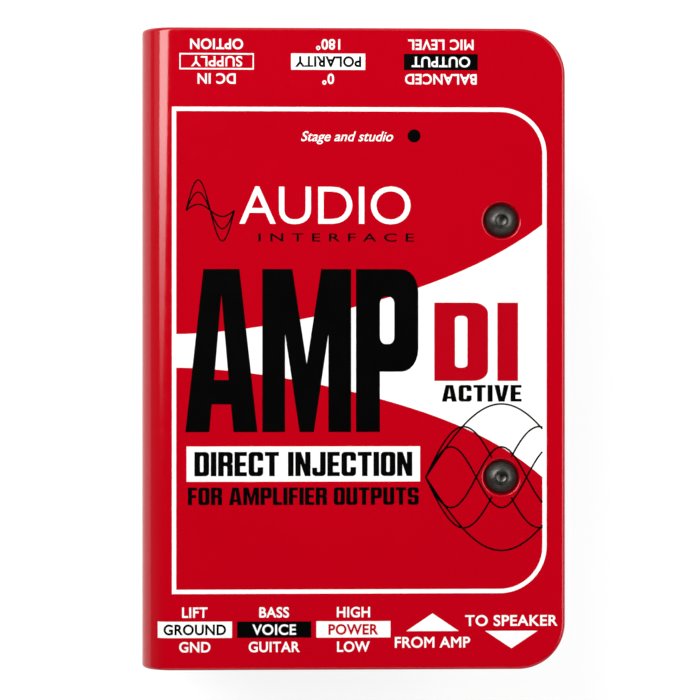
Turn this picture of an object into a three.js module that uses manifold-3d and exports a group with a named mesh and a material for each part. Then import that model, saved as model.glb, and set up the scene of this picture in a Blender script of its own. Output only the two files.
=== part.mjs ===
// Direct injection box in a bookend case.
// A folded steel chassis sits inside a cover bent from one sheet, whose top and bottom plates
// overhang both end panels. The front panel (-Y) has two 6.35 mm jacks and three push switches,
// and the rear panel (+Y) has a three-pin output connector, a push switch and a supply jack.
// All of them stand on one circuit board. Millimetres, +Z up, origin under the middle of the pad.
import * as THREE from 'three';
import { mergeVertices } from 'three/addons/utils/BufferGeometryUtils.js';
import Module from 'manifold-3d';

const wasm = await Module();
wasm.setup();

// ---- Driving dimensions ----

const WIDTH = 84;
const LENGTH = 127;
const HEIGHT = 48;
const SHEET = 1.9; // 14 gauge steel
const PAD_THICKNESS = 3;
const HEAD_PROUD = 1; // how far a cover screw stands above its plate
const BEND_RADIUS = 6.35; // outside of the cover's two bends
const CORNER_RADIUS = 9.3; // free corners of the cover's plates
const PANEL_RECESS = 10; // end panels behind the ends of the cover
const WEB_RECESS = 1; // chassis side wall behind the cover's free edge
const FIT_GAP = 0.3; // between the chassis and the cover
const REST_GAP = 0.05; // between pieces that rest on each other

const SCREW_FROM_EDGE = 12.7;
const SCREW_SPACING = 50.8;
const HEAD_RADIUS = 3.3;
const HEAD_HEIGHT = 1.85;
const SEAT_DEPTH = HEAD_HEIGHT + REST_GAP - HEAD_PROUD;
const SHANK_RADIUS = 1.72;
const SHANK_LENGTH = 4.76;

const CONTROL_PITCH = 15.65; // between neighbours on the front panel
const OUTPUT_X = 17.3;
const POLARITY_X = -5;
const SUPPLY_X = -27;
const SWITCH_TRAVEL = 2.5;
const BOARD_THICKNESS = 1.6;
const BOARD_CLEARANCE = 4.6; // under the board, above the cover's bottom plate

// ---- Derived levels and faces ----

const SHELL_BOTTOM = PAD_THICKNESS;
const SHELL_TOP = HEIGHT - HEAD_PROUD;
const CHASSIS_BOTTOM = SHELL_BOTTOM + SHEET + FIT_GAP;
const CHASSIS_TOP = SHELL_TOP - SHEET - FIT_GAP;
const CHASSIS_LEFT = -WIDTH / 2 + SHEET + FIT_GAP;
const CHASSIS_RIGHT = WIDTH / 2 - WEB_RECESS;
const PANEL_Y = LENGTH / 2 - PANEL_RECESS;
const PANEL_MIDDLE_Z = (CHASSIS_BOTTOM + CHASSIS_TOP) / 2;
const BOARD_BOTTOM = SHELL_BOTTOM + SHEET + BOARD_CLEARANCE;
const BOARD_TOP = BOARD_BOTTOM + BOARD_THICKNESS;
const SCREW_X = WIDTH / 2 - SCREW_FROM_EDGE;
const SCREW_Y = SCREW_SPACING / 2;
const JACK_Z = BOARD_TOP + 9.9;
const SWITCH_Z = BOARD_TOP + 4.4;
const SUPPLY_Z = BOARD_TOP + 6.5;

const FINE = 24; // sides of a visible round piece
const COARSE = 16; // sides of a small or hidden round piece

const paint = (color, roughness = 0.4, metalness = 0) =>
  new THREE.MeshStandardMaterial({ color, roughness, metalness });
const MATERIALS = {
  redEnamel: paint('#c80018', 0.3),
  blackEnamel: paint('#151517', 0.45),
  rubber: paint('#1b1b1c', 0.9),
  blackOxide: paint('#3a3936', 0.4, 0.8),
  zincSteel: paint('#b9bcc0', 0.35, 1),
  nickel: paint('#c9c8c2', 0.2, 1),
  silver: paint('#dcdad2', 0.2, 1),
  blackPlastic: paint('#141414', 0.5),
  whitePlastic: paint('#e6e3da', 0.4),
  board: paint('#12502c', 0.5),
  canSteel: paint('#9a9ca0', 0.4, 1),
  lamination: paint('#5a5d62', 0.5, 1),
  copper: paint('#b4672c', 0.35, 1),
  ferrite: paint('#33343a', 0.7),
  ceramic: paint('#d9d6cc', 0.8),
  sleeve: paint('#20262e', 0.35),
  filmBlock: paint('#a8322a', 0.4),
};

// ---- Solids: three.js geometry in, joined and cut, and out again as a mesh ----

// A closed solid from any closed three.js geometry, facing outwards.
function solid(geometry) {
  const bare = geometry.index ? geometry.toNonIndexed() : geometry.clone();
  bare.deleteAttribute('normal');
  bare.deleteAttribute('uv');
  const merged = mergeVertices(bare, 1e-4);
  const corners = merged.index.array;
  const triangles = [];
  for (let i = 0; i < corners.length; i += 3) {
    const [a, b, c] = corners.slice(i, i + 3);
    if (a !== b && b !== c && c !== a) triangles.push(a, b, c);
  }
  const build = (order) =>
    new wasm.Manifold(
      new wasm.Mesh({
        numProp: 3,
        vertProperties: merged.attributes.position.array,
        triVerts: new Uint32Array(order),
      }),
    );
  const made = build(triangles);
  return made.volume() > 0 ? made : build(triangles.reverse());
}

const join = (first, ...others) => others.reduce((sum, other) => sum.add(other), first);
const cut = (body, ...tools) => tools.reduce((rest, tool) => rest.subtract(tool), body);

function mesh(name, body, material) {
  const { vertProperties, triVerts } = body.getMesh();
  const geometry = new THREE.BufferGeometry();
  geometry.setAttribute('position', new THREE.BufferAttribute(vertProperties, 3));
  geometry.setIndex(new THREE.BufferAttribute(triVerts, 1));
  geometry.computeVertexNormals();
  const made = new THREE.Mesh(geometry, material);
  made.name = name;
  return made;
}

function group(position, ...members) {
  const made = new THREE.Group();
  made.position.set(...position);
  made.add(...members);
  return made;
}

// Extrusions: a shape drawn in X and Y along Z, in X and Z along Y, or in Y and Z along X.
// Each quarter-circle arc in the shape gets two segments per curve segment.
function extruded(shape, low, high, sides) {
  const options = { depth: high - low, bevelEnabled: false, curveSegments: sides / 8 };
  return new THREE.ExtrudeGeometry(shape, options);
}
const alongZ = (shape, low, high, sides = COARSE) =>
  solid(extruded(shape, low, high, sides).translate(0, 0, low));
const alongY = (shape, low, high, sides = COARSE) =>
  solid(extruded(shape, low, high, sides).rotateX(Math.PI / 2).translate(0, high, 0));
const alongX = (shape, low, high, sides = COARSE) =>
  solid(
    extruded(shape, low, high, sides)
      .rotateX(Math.PI / 2)
      .rotateZ(Math.PI / 2)
      .translate(low, 0, 0),
  );

// Turned pieces from (radius, height) points, about Y or about Z.
const points = (profile) => profile.map(([radius, height]) => new THREE.Vector2(radius, height));
const lathe = (profile, sides) => new THREE.LatheGeometry(points(profile), sides);
const turnedY = (profile, sides = COARSE) => solid(lathe(profile, sides));
const turnedZ = (profile, sides = COARSE, [x, y, z] = [0, 0, 0]) =>
  solid(lathe(profile, sides).rotateX(Math.PI / 2).translate(x, y, z));

const block = ([x0, x1], [y0, y1], [z0, z1]) =>
  solid(
    new THREE.BoxGeometry(x1 - x0, y1 - y0, z1 - z0).translate(
      (x0 + x1) / 2,
      (y0 + y1) / 2,
      (z0 + z1) / 2,
    ),
  );

// Shapes
function roundedRect(width, height, radius, x = 0, y = 0) {
  const shape = new THREE.Shape();
  const right = x + width / 2 - radius;
  const top = y + height / 2 - radius;
  const left = x - width / 2 + radius;
  const bottom = y - height / 2 + radius;
  shape.absarc(right, top, radius, 0, Math.PI / 2);
  shape.absarc(left, top, radius, Math.PI / 2, Math.PI);
  shape.absarc(left, bottom, radius, Math.PI, 1.5 * Math.PI);
  shape.absarc(right, bottom, radius, 1.5 * Math.PI, 2 * Math.PI);
  return shape;
}

const circle = (radius, x = 0, y = 0) => roundedRect(2 * radius, 2 * radius, radius, x, y);

function polygon(corners) {
  return new THREE.Shape(corners.map(([x, y]) => new THREE.Vector2(x, y)));
}

function hexagon(acrossFlats) {
  const radius = acrossFlats / Math.sqrt(3);
  const corner = (i) => [radius * Math.cos((i * Math.PI) / 3), radius * Math.sin((i * Math.PI) / 3)];
  return polygon([0, 1, 2, 3, 4, 5].map(corner));
}

// A ring: outer and inner radius, from one height to another.
const ringProfile = (outer, inner, low, high) => [
  [inner, low],
  [outer, low],
  [outer, high],
  [inner, high],
  [inner, low],
];

// Plan of a plate with square corners on the left and rounded ones on the right.
function platePlan(left, right, halfLength, radius) {
  const plan = new THREE.Shape();
  plan.absarc(right - radius, -halfLength + radius, radius, -Math.PI / 2, 0);
  plan.absarc(right - radius, halfLength - radius, radius, 0, Math.PI / 2);
  plan.lineTo(left, halfLength);
  plan.lineTo(left, -halfLength);
  return plan;
}

// ---- Case: cover, chassis, pad and fasteners ----

// The recess and hole for one cover screw, with the plate's outer face at z = 0.
function screwSeat([x, y, z], facing) {
  const past = SHEET + 1;
  const seat = [
    [0, -past],
    [SHANK_RADIUS + 0.2, -past],
    [SHANK_RADIUS + 0.2, -SEAT_DEPTH],
    [HEAD_RADIUS + 0.25, -SEAT_DEPTH],
    [HEAD_RADIUS + 0.6, 0],
    [HEAD_RADIUS + 0.6, 1],
    [0, 1],
  ];
  const flip = seat.map(([radius, height]) => [radius, height * facing]);
  return turnedZ(flip, FINE, [x, y, z]);
}

const SCREW_PLACES = [
  { name: 'top_front', y: -SCREW_Y, z: SHELL_TOP, facing: 1 },
  { name: 'top_rear', y: SCREW_Y, z: SHELL_TOP, facing: 1 },
  { name: 'bottom_front', y: -SCREW_Y, z: SHELL_BOTTOM, facing: -1 },
  { name: 'bottom_rear', y: SCREW_Y, z: SHELL_BOTTOM, facing: -1 },
];

// One sheet bent twice round the left side, with both plates' free corners rounded.
function outerShell() {
  const bendX = -WIDTH / 2 + BEND_RADIUS;
  const upperBendZ = SHELL_TOP - BEND_RADIUS;
  const lowerBendZ = SHELL_BOTTOM + BEND_RADIUS;
  const inner = BEND_RADIUS - SHEET;
  const right = WIDTH / 2;
  const section = new THREE.Shape();
  section.absarc(bendX, upperBendZ, BEND_RADIUS, Math.PI / 2, Math.PI);
  section.absarc(bendX, lowerBendZ, BEND_RADIUS, Math.PI, 1.5 * Math.PI);
  section.lineTo(right, SHELL_BOTTOM);
  section.lineTo(right, SHELL_BOTTOM + SHEET);
  section.absarc(bendX, lowerBendZ, inner, 1.5 * Math.PI, Math.PI, true);
  section.absarc(bendX, upperBendZ, inner, Math.PI, Math.PI / 2, true);
  section.lineTo(right, SHELL_TOP - SHEET);
  section.lineTo(right, SHELL_TOP);
  const bent = alongY(section, -LENGTH / 2, LENGTH / 2, FINE);
  const plan = platePlan(-WIDTH / 2 - 1, WIDTH / 2, LENGTH / 2, CORNER_RADIUS);
  const trimmed = bent.intersect(alongZ(plan, 0, HEIGHT, FINE));
  const seats = SCREW_PLACES.map(({ y, z, facing }) => screwSeat([SCREW_X, y, z], facing));
  return mesh('outer_shell', cut(trimmed, ...seats), MATERIALS.redEnamel);
}

const CHASSIS_BEND = 3;
const CHASSIS_INNER_BEND = CHASSIS_BEND - SHEET;
const FLANGE_DEPTH = 18;
const FLANGE_HALF_LENGTH = 38;
const RELIEF = 1.5;
const NUT_SHANK_RADIUS = 2.7;
const BOARD_SCREW = { x: 33.5, y: 12, shank: 1.4 };

// The front panel, side wall and rear panel as one bent strip, seen from above.
function chassisWalls() {
  const bendX = CHASSIS_RIGHT - CHASSIS_BEND;
  const bendY = PANEL_Y - CHASSIS_BEND;
  const strip = new THREE.Shape();
  strip.absarc(bendX, -bendY, CHASSIS_BEND, -Math.PI / 2, 0);
  strip.absarc(bendX, bendY, CHASSIS_BEND, 0, Math.PI / 2);
  strip.lineTo(CHASSIS_LEFT, PANEL_Y);
  strip.lineTo(CHASSIS_LEFT, PANEL_Y - SHEET);
  strip.absarc(bendX, bendY, CHASSIS_INNER_BEND, Math.PI / 2, 0, true);
  strip.absarc(bendX, -bendY, CHASSIS_INNER_BEND, 0, -Math.PI / 2, true);
  strip.lineTo(CHASSIS_LEFT, -PANEL_Y + SHEET);
  strip.lineTo(CHASSIS_LEFT, -PANEL_Y);
  const walls = alongZ(strip, CHASSIS_BOTTOM, CHASSIS_TOP);
  // The panels' left corners follow the inside of the cover's bends.
  const radius = BEND_RADIUS - SHEET - FIT_GAP;
  const outline = new THREE.Shape();
  outline.absarc(CHASSIS_LEFT + radius, CHASSIS_TOP - radius, radius, Math.PI / 2, Math.PI);
  outline.absarc(CHASSIS_LEFT + radius, CHASSIS_BOTTOM + radius, radius, Math.PI, 1.5 * Math.PI);
  outline.lineTo(CHASSIS_RIGHT + 1, CHASSIS_BOTTOM);
  outline.lineTo(CHASSIS_RIGHT + 1, CHASSIS_TOP);
  return walls.intersect(alongY(outline, -PANEL_Y - 1, PANEL_Y + 1));
}

// The side wall's top and bottom flanges, folded inwards.
function chassisFlanges() {
  const bendX = CHASSIS_RIGHT - CHASSIS_BEND;
  const upper = CHASSIS_TOP - CHASSIS_BEND;
  const lower = CHASSIS_BOTTOM + CHASSIS_BEND;
  const tip = CHASSIS_RIGHT - FLANGE_DEPTH;
  const section = new THREE.Shape();
  section.absarc(bendX, upper, CHASSIS_BEND, Math.PI / 2, 0, true);
  section.absarc(bendX, lower, CHASSIS_BEND, 0, -Math.PI / 2, true);
  section.lineTo(tip, CHASSIS_BOTTOM);
  section.lineTo(tip, CHASSIS_BOTTOM + SHEET);
  section.absarc(bendX, lower, CHASSIS_INNER_BEND, -Math.PI / 2, 0);
  section.absarc(bendX, upper, CHASSIS_INNER_BEND, 0, Math.PI / 2);
  section.lineTo(tip, CHASSIS_TOP - SHEET);
  section.lineTo(tip, CHASSIS_TOP);
  return alongY(section, -FLANGE_HALF_LENGTH, FLANGE_HALF_LENGTH);
}

function innerChassis() {
  const reliefY = FLANGE_HALF_LENGTH + RELIEF;
  const edgeX = [CHASSIS_RIGHT - SHEET - 1, CHASSIS_RIGHT + 1];
  const strips = [
    block(edgeX, [-reliefY, reliefY], [CHASSIS_TOP - CHASSIS_BEND, CHASSIS_TOP + 1]),
    block(edgeX, [-reliefY, reliefY], [CHASSIS_BOTTOM - 1, CHASSIS_BOTTOM + CHASSIS_BEND]),
  ];
  const folded = join(cut(chassisWalls(), ...strips), chassisFlanges());
  const front = (shape, sides) => alongY(shape, -PANEL_Y - 1, -PANEL_Y + SHEET + 1, sides);
  const rear = (shape, sides) => alongY(shape, PANEL_Y - SHEET - 1, PANEL_Y + 1, sides);
  const flangeHole = (radius, x, y, sides) =>
    alongZ(circle(radius, x, y), CHASSIS_BOTTOM - 1, CHASSIS_TOP + 1, sides);
  const lowHole = (radius, x, y) =>
    alongZ(circle(radius, x, y), CHASSIS_BOTTOM - 1, CHASSIS_BOTTOM + SHEET + 1);
  const holes = [
    ...JACKS.map(({ x }) => front(circle(JACK.bushing + 0.2, x, JACK_Z), FINE)),
    ...FRONT_SWITCHES.map(({ x }) => front(switchCutout(x))),
    rear(circle(OUTPUT.barrel + 0.15, OUTPUT_X, PANEL_MIDDLE_Z), FINE),
    ...[-1, 1].map((side) => rear(outputScrewHole(side))),
    rear(switchCutout(POLARITY_X)),
    rear(circle(SUPPLY.nose + 0.3, SUPPLY_X, SUPPLY_Z), FINE),
    ...[-1, 1].map((side) => flangeHole(NUT_SHANK_RADIUS + REST_GAP, SCREW_X, side * SCREW_Y)),
    ...[-1, 1].map((side) => lowHole(BOARD_SCREW.shank + 0.1, BOARD_SCREW.x, side * BOARD_SCREW.y)),
  ];
  return mesh('inner_chassis', cut(folded, ...holes), MATERIALS.blackEnamel);
}

// The full-width rubber pad, with a window round each bottom screw.
function basePad() {
  const inset = 2;
  const left = -WIDTH / 2 + BEND_RADIUS - 0.85;
  const plan = new THREE.Shape();
  const right = WIDTH / 2 - inset;
  const half = LENGTH / 2 - inset;
  const outer = CORNER_RADIUS - inset;
  const small = 3;
  plan.absarc(right - outer, half - outer, outer, 0, Math.PI / 2);
  plan.absarc(left + small, half - small, small, Math.PI / 2, Math.PI);
  plan.absarc(left + small, -half + small, small, Math.PI, 1.5 * Math.PI);
  plan.absarc(right - outer, -half + outer, outer, 1.5 * Math.PI, 2 * Math.PI);
  const windows = [-1, 1].map((side) =>
    alongZ(circle(HEAD_RADIUS + 1.7, SCREW_X, side * SCREW_Y), -1, PAD_THICKNESS + 1, FINE),
  );
  const pad = alongZ(plan, 0, PAD_THICKNESS - REST_GAP, FINE);
  return mesh('base_pad', cut(pad, ...windows), MATERIALS.rubber);
}

// A button-head screw with a hexagon socket, its seat at z = 0 and its head above.
function coverScrew(name) {
  const domeSteps = 4;
  const flatRadius = 1.7;
  const profile = [
    [0, -SHANK_LENGTH],
    [SHANK_RADIUS - 0.3, -SHANK_LENGTH],
    [SHANK_RADIUS, -SHANK_LENGTH + 0.4],
    [SHANK_RADIUS, 0],
  ];
  for (let i = 0; i <= domeSteps; i++) {
    const angle = (i / domeSteps) * (Math.PI / 2);
    profile.push([
      flatRadius + (HEAD_RADIUS - flatRadius) * Math.cos(angle),
      0.25 + (HEAD_HEIGHT - 0.25) * Math.sin(angle),
    ]);
  }
  profile.splice(4, 0, [HEAD_RADIUS, 0]);
  profile.push([0, HEAD_HEIGHT]);
  const socket = alongZ(hexagon(1.98), HEAD_HEIGHT - 1.1, HEAD_HEIGHT + 1);
  return mesh(name, cut(turnedZ(profile, 20), socket), MATERIALS.blackOxide);
}

function placedCoverScrew({ name, y, z, facing }) {
  const seatZ = z - facing * (SEAT_DEPTH - REST_GAP);
  const made = group([SCREW_X, y, seatZ], coverScrew(`cover_screw_${name}`));
  if (facing < 0) made.rotation.x = Math.PI;
  return made;
}

// A clinch nut on the inner face of a flange, its knurled shank pressed into the flange.
function clinchNut({ name, y, facing }) {
  const innerFace = facing > 0 ? CHASSIS_TOP - SHEET : CHASSIS_BOTTOM + SHEET;
  const bore = SHANK_RADIUS + 0.12;
  const profile = [
    [bore, 1.5],
    [bore, -2],
    [3.2, -2],
    [3.55, -1.7],
    [3.55, -REST_GAP],
    [NUT_SHANK_RADIUS, -REST_GAP],
    [NUT_SHANK_RADIUS, 1.5],
    [bore, 1.5],
  ].map(([radius, height]) => [radius, height * facing]);
  const body = turnedZ(profile, COARSE, [SCREW_X, y, innerFace]);
  return mesh(`clinch_nut_${name}`, body, MATERIALS.zincSteel);
}

// ---- Front jacks. Local frame: origin on the panel's outer face, +Y into the box ----

const JACK = { bushing: 4.7, bore: 3.3, front: -4.4, shoulder: 6.2, halfWidth: 7.5, depth: 27.5 };
const JACKS = [
  { name: 'amp_jack', x: CONTROL_PITCH },
  { name: 'speaker_jack', x: 2 * CONTROL_PITCH },
];
const TIP_SPRING = { pivotY: 26.5, pivotZ: 4.2, thickness: 0.4, width: 2.4 };

function jackBody(name) {
  const { halfWidth, depth } = JACK;
  const floor = BOARD_TOP + REST_GAP - JACK_Z;
  const housing = block([-halfWidth, halfWidth], [SHEET + 0.9, depth], [floor, 8.4]);
  const bore = turnedY([
    [0, 0],
    [JACK.bushing + 0.1, 0],
    [JACK.bushing + 0.1, 6.1],
    [JACK.bore + 0.1, 6.1],
    [JACK.bore + 0.1, 26],
    [0, 26],
  ], FINE);
  // The contact's channel is open to the top, and its front half opens into the bore.
  const channel = block([-1.6, 1.6], [12.5, 27], [3.8, 9]);
  const window = block([-1.6, 1.6], [12.5, 19], [1.5, 9]);
  const shelf = block([-halfWidth - 1, halfWidth + 1], [SHEET, 8], [6.9, 9]);
  return mesh(name, cut(housing, bore, channel, window, shelf), MATERIALS.blackPlastic);
}

function jackBushing(name) {
  const { bushing, bore, front, shoulder } = JACK;
  const profile = [
    [bore + 0.35, front],
    [bushing - 0.35, front],
    [bushing, front + 0.35],
    [bushing, SHEET + REST_GAP],
    [shoulder, SHEET + REST_GAP],
    [shoulder, SHEET + 0.85],
    [bushing, SHEET + 0.85],
    [bushing, 6],
    [bore, 6],
    [bore, front + 0.35],
    [bore + 0.35, front],
  ];
  return mesh(name, turnedY(profile, FINE), MATERIALS.nickel);
}

const jackWasher = (name) =>
  mesh(name, turnedY(ringProfile(6.9, JACK.bushing + 0.2, -0.85, -REST_GAP), FINE), MATERIALS.nickel);

function jackNut(name) {
  const back = -0.9;
  const front = -3.2;
  const hex = alongY(hexagon(12.7), front, back);
  const chamfer = turnedY([
    [0, front],
    [6.3, front],
    [7.5, front + 0.7],
    [7.5, back],
    [0, back],
  ], FINE);
  const bore = alongY(circle(JACK.bushing + 0.15), front - 1, back + 1, FINE);
  return mesh(name, cut(hex.intersect(chamfer), bore), MATERIALS.nickel);
}

// A bent strip of even thickness along a line of (y, z) points.
function stripShape(line, thickness) {
  const half = thickness / 2;
  const path = line.map(([y, z]) => new THREE.Vector2(y, z));
  const normalAt = (i) => {
    const before = path[Math.max(i - 1, 0)];
    const after = path[Math.min(i + 1, path.length - 1)];
    const along = after.clone().sub(before).normalize();
    return new THREE.Vector2(-along.y, along.x).multiplyScalar(half);
  };
  const upper = path.map((p, i) => p.clone().add(normalAt(i)));
  const lower = path.map((p, i) => p.clone().sub(normalAt(i))).reverse();
  return new THREE.Shape([...upper, ...lower]);
}

// The leaf that bears on a plug's tip: a straight strip with a V near its free end.
function tipSpring(name) {
  const { pivotY, pivotZ, thickness, width } = TIP_SPRING;
  const line = [
    [pivotY + 0.3, pivotZ],
    [18.6, pivotZ],
    [16.3, 2.8],
    [15.7, 2.8],
    [14.2, 4.3],
  ];
  const leaf = alongX(stripShape(line, thickness), -width / 2, width / 2);
  return mesh(name, leaf, MATERIALS.silver);
}

const jack = ({ name, x }) =>
  group(
    [x, -PANEL_Y, JACK_Z],
    jackBody(`${name}_body`),
    jackBushing(`${name}_bushing`),
    jackWasher(`${name}_washer`),
    jackNut(`${name}_nut`),
    tipSpring(`${name}_tip_spring`),
  );

// ---- Push switches, in the same local frame ----

const BUTTON = { width: 6, height: 4.4, front: -4.6, back: 1.6, stem: 3 };
const FRONT_SWITCHES = [
  { name: 'ground', x: -2 * CONTROL_PITCH },
  { name: 'voicing', x: -CONTROL_PITCH },
  { name: 'power', x: 0 },
];

const switchCutout = (x) => roundedRect(BUTTON.width + 0.8, BUTTON.height + 0.8, 1, x, SWITCH_Z);

function switchBody(name) {
  const floor = BOARD_TOP + REST_GAP - SWITCH_Z;
  const front = BUTTON.back + SWITCH_TRAVEL + 0.5;
  const bore = BUTTON.stem / 2 + 0.2;
  const housing = block([-4.25, 4.25], [front, 17], [floor, 4]);
  const guide = block([-bore, bore], [front - 1, 14.2], [-bore, bore]);
  const step = block([-5, 5], [front - 1, front + 3], [2.8, 5]);
  return mesh(name, cut(housing, guide, step), MATERIALS.blackPlastic);
}

function button(name) {
  const { width, height, front, back, stem } = BUTTON;
  const cap = alongY(roundedRect(width, height, 0.7), front, back);
  const rod = block([-stem / 2, stem / 2], [back - 1, 11], [-stem / 2, stem / 2]);
  return mesh(name, join(cap, rod), MATERIALS.whitePlastic);
}

const pushSwitch = ({ name, x }, y = -PANEL_Y) =>
  group([x, y, SWITCH_Z], switchBody(`${name}_switch_body`), button(`${name}_button`));

// ---- Three-pin output connector, in the same local frame ----

const OUTPUT = {
  flangeWidth: 26,
  flangeHeight: 31,
  flangeFront: -2.2,
  barrel: 11.7,
  socket: 8.2,
  floor: 10.7,
  back: 17,
  pinCircle: 4.7,
  pinRadius: 1.2,
  screwX: 9.5,
  screwZ: 12,
  screwHole: 1.6,
  screwHead: 2.8,
};
const PIN_ANGLES = [15, 165, 270];

const outputScrewHole = (side) =>
  circle(OUTPUT.screwHole, OUTPUT_X + side * OUTPUT.screwX, PANEL_MIDDLE_Z + side * OUTPUT.screwZ);

function pinPlace(degrees) {
  const angle = THREE.MathUtils.degToRad(degrees);
  return [OUTPUT.pinCircle * Math.cos(angle), OUTPUT.pinCircle * Math.sin(angle)];
}

function outputHousing() {
  const { flangeFront, barrel, socket, floor, back, screwX, screwZ, screwHole } = OUTPUT;
  const flange = alongY(
    roundedRect(OUTPUT.flangeWidth, OUTPUT.flangeHeight, 2.5),
    flangeFront,
    -REST_GAP,
    FINE,
  );
  const tube = alongY(circle(barrel), -1, back, FINE);
  const hollow = turnedY([
    [0, flangeFront - 1],
    [socket + 1, flangeFront - 1],
    [socket + 1, flangeFront],
    [socket, flangeFront + 1],
    [socket, floor - 0.1],
    [socket + 1.2, floor - 0.1],
    [socket + 1.2, back + 1],
    [0, back + 1],
  ], FINE);
  const latchNotch = block([-1.7, 1.7], [flangeFront - 1, 5], [6, 9.9]);
  const countersink = turnedY([
    [0, flangeFront - 1],
    [OUTPUT.screwHead + 0.15, flangeFront - 1],
    [OUTPUT.screwHead + 0.15, flangeFront + 0.3],
    [screwHole, flangeFront + 1.65],
    [screwHole, 1],
    [0, 1],
  ]);
  const screwHoles = [-1, 1].map((side) => countersink.translate(side * screwX, 0, -side * screwZ));
  const housing = cut(join(flange, tube), hollow, latchNotch, ...screwHoles);
  return mesh('output_housing', housing, MATERIALS.blackPlastic);
}

function outputInsert() {
  const { socket, floor, back, pinRadius } = OUTPUT;
  const disc = turnedY([
    [0, floor],
    [socket + 1.1, floor],
    [socket + 1.1, back - 0.5],
    [0, back - 0.5],
  ], FINE);
  const holes = PIN_ANGLES.map((angle) =>
    alongY(circle(pinRadius + REST_GAP, ...pinPlace(angle)), floor - 1, back + 1),
  );
  return mesh('output_insert', cut(disc, ...holes), MATERIALS.blackPlastic);
}

function outputPin(number, angle) {
  const { pinRadius, back } = OUTPUT;
  const tip = OUTPUT.flangeFront + 1;
  const [x, z] = pinPlace(angle);
  const pin = turnedY([
    [0, tip],
    [pinRadius - 0.5, tip],
    [pinRadius, tip + 0.7],
    [pinRadius, back + 1],
    [0.5, back + 1],
    [0.5, back + 4],
    [0, back + 4],
  ]);
  return group([x, 0, z], mesh(`output_pin_${number}`, pin, MATERIALS.silver));
}

// A countersunk screw with a cross recess, its head just below the flange's face.
function outputScrew(name, side) {
  const face = OUTPUT.flangeFront + 0.1;
  const shank = OUTPUT.screwHole - 0.2;
  const body = turnedY([
    [0, face],
    [OUTPUT.screwHead, face],
    [OUTPUT.screwHead, face + 0.15],
    [shank, face + 1.55],
    [shank, 3.8],
    [0, 3.8],
  ]);
  const slots = [
    block([-1.5, 1.5], [face - 1, face + 0.9], [-0.35, 0.35]),
    block([-0.35, 0.35], [face - 1, face + 0.9], [-1.5, 1.5]),
  ];
  const screw = mesh(name, cut(body, ...slots), MATERIALS.blackOxide);
  return group([side * OUTPUT.screwX, 0, -side * OUTPUT.screwZ], screw);
}

function outputConnector() {
  const made = group(
    [OUTPUT_X, PANEL_Y, PANEL_MIDDLE_Z],
    outputHousing(),
    outputInsert(),
    ...PIN_ANGLES.map((angle, i) => outputPin(i + 1, angle)),
    outputScrew('output_screw_upper', -1),
    outputScrew('output_screw_lower', 1),
  );
  made.rotation.z = Math.PI;
  return made;
}

// ---- Supply jack, in the same local frame ----

const SUPPLY = { nose: 4.1, socket: 3.15, pin: 1.05, socketEnd: 11.5 };
const SLEEVE_SPRING = { pivotY: 12.3, pivotZ: -3.9, thickness: 0.3, width: 1.8 };

// The leaf under a plug's sleeve: like the tip spring, with its bump upwards.
function sleeveSpring() {
  const { pivotY, pivotZ, thickness, width } = SLEEVE_SPRING;
  const line = [
    [pivotY + 0.3, pivotZ],
    [8.6, pivotZ],
    [6.7, -2.75],
    [6.1, -2.75],
    [4.9, pivotZ],
  ];
  const leaf = alongX(stripShape(line, thickness), -width / 2, width / 2);
  return mesh('supply_jack_spring', leaf, MATERIALS.silver);
}

function supplyJack() {
  const { nose, socket, pin, socketEnd } = SUPPLY;
  const floor = BOARD_TOP + REST_GAP - SUPPLY_Z;
  const housing = block([-4.5, 4.5], [SHEET + 0.2, 16], [floor, 4.6]);
  const collar = alongY(circle(nose), 0.3, SHEET + 1, FINE);
  const hollow = alongY(circle(socket), 0, socketEnd, FINE);
  const pinHole = alongY(circle(pin + REST_GAP), socketEnd - 1, 17);
  const channel = block([-1.2, 1.2], [4, 12.9], [-5, -2]);
  const body = cut(join(housing, collar), hollow, pinHole, channel);
  const centre = turnedY([
    [0, 1.4],
    [pin - 0.45, 1.4],
    [pin, 2],
    [pin, 16.5],
    [0, 16.5],
  ]);
  const made = group(
    [SUPPLY_X, PANEL_Y, SUPPLY_Z],
    mesh('supply_jack_body', body, MATERIALS.blackPlastic),
    mesh('supply_jack_pin', centre, MATERIALS.silver),
    sleeveSpring(),
  );
  made.rotation.z = Math.PI;
  return made;
}

function polaritySwitch() {
  const made = pushSwitch({ name: 'polarity', x: POLARITY_X }, PANEL_Y);
  made.rotation.z = Math.PI;
  return made;
}

// ---- Circuit board and what stands on it ----

const BOARD = { halfWidth: 38, halfLength: 50.3 };

function circuitBoard() {
  const plate = alongZ(
    roundedRect(2 * BOARD.halfWidth, 2 * BOARD.halfLength, 1.5),
    BOARD_BOTTOM,
    BOARD_TOP,
  );
  const screwHoles = [-1, 1].map((side) =>
    alongZ(circle(BOARD_SCREW.shank + 0.2, BOARD_SCREW.x, side * BOARD_SCREW.y), 0, HEIGHT),
  );
  return mesh('circuit_board', cut(plate, ...screwHoles), MATERIALS.board);
}

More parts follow.
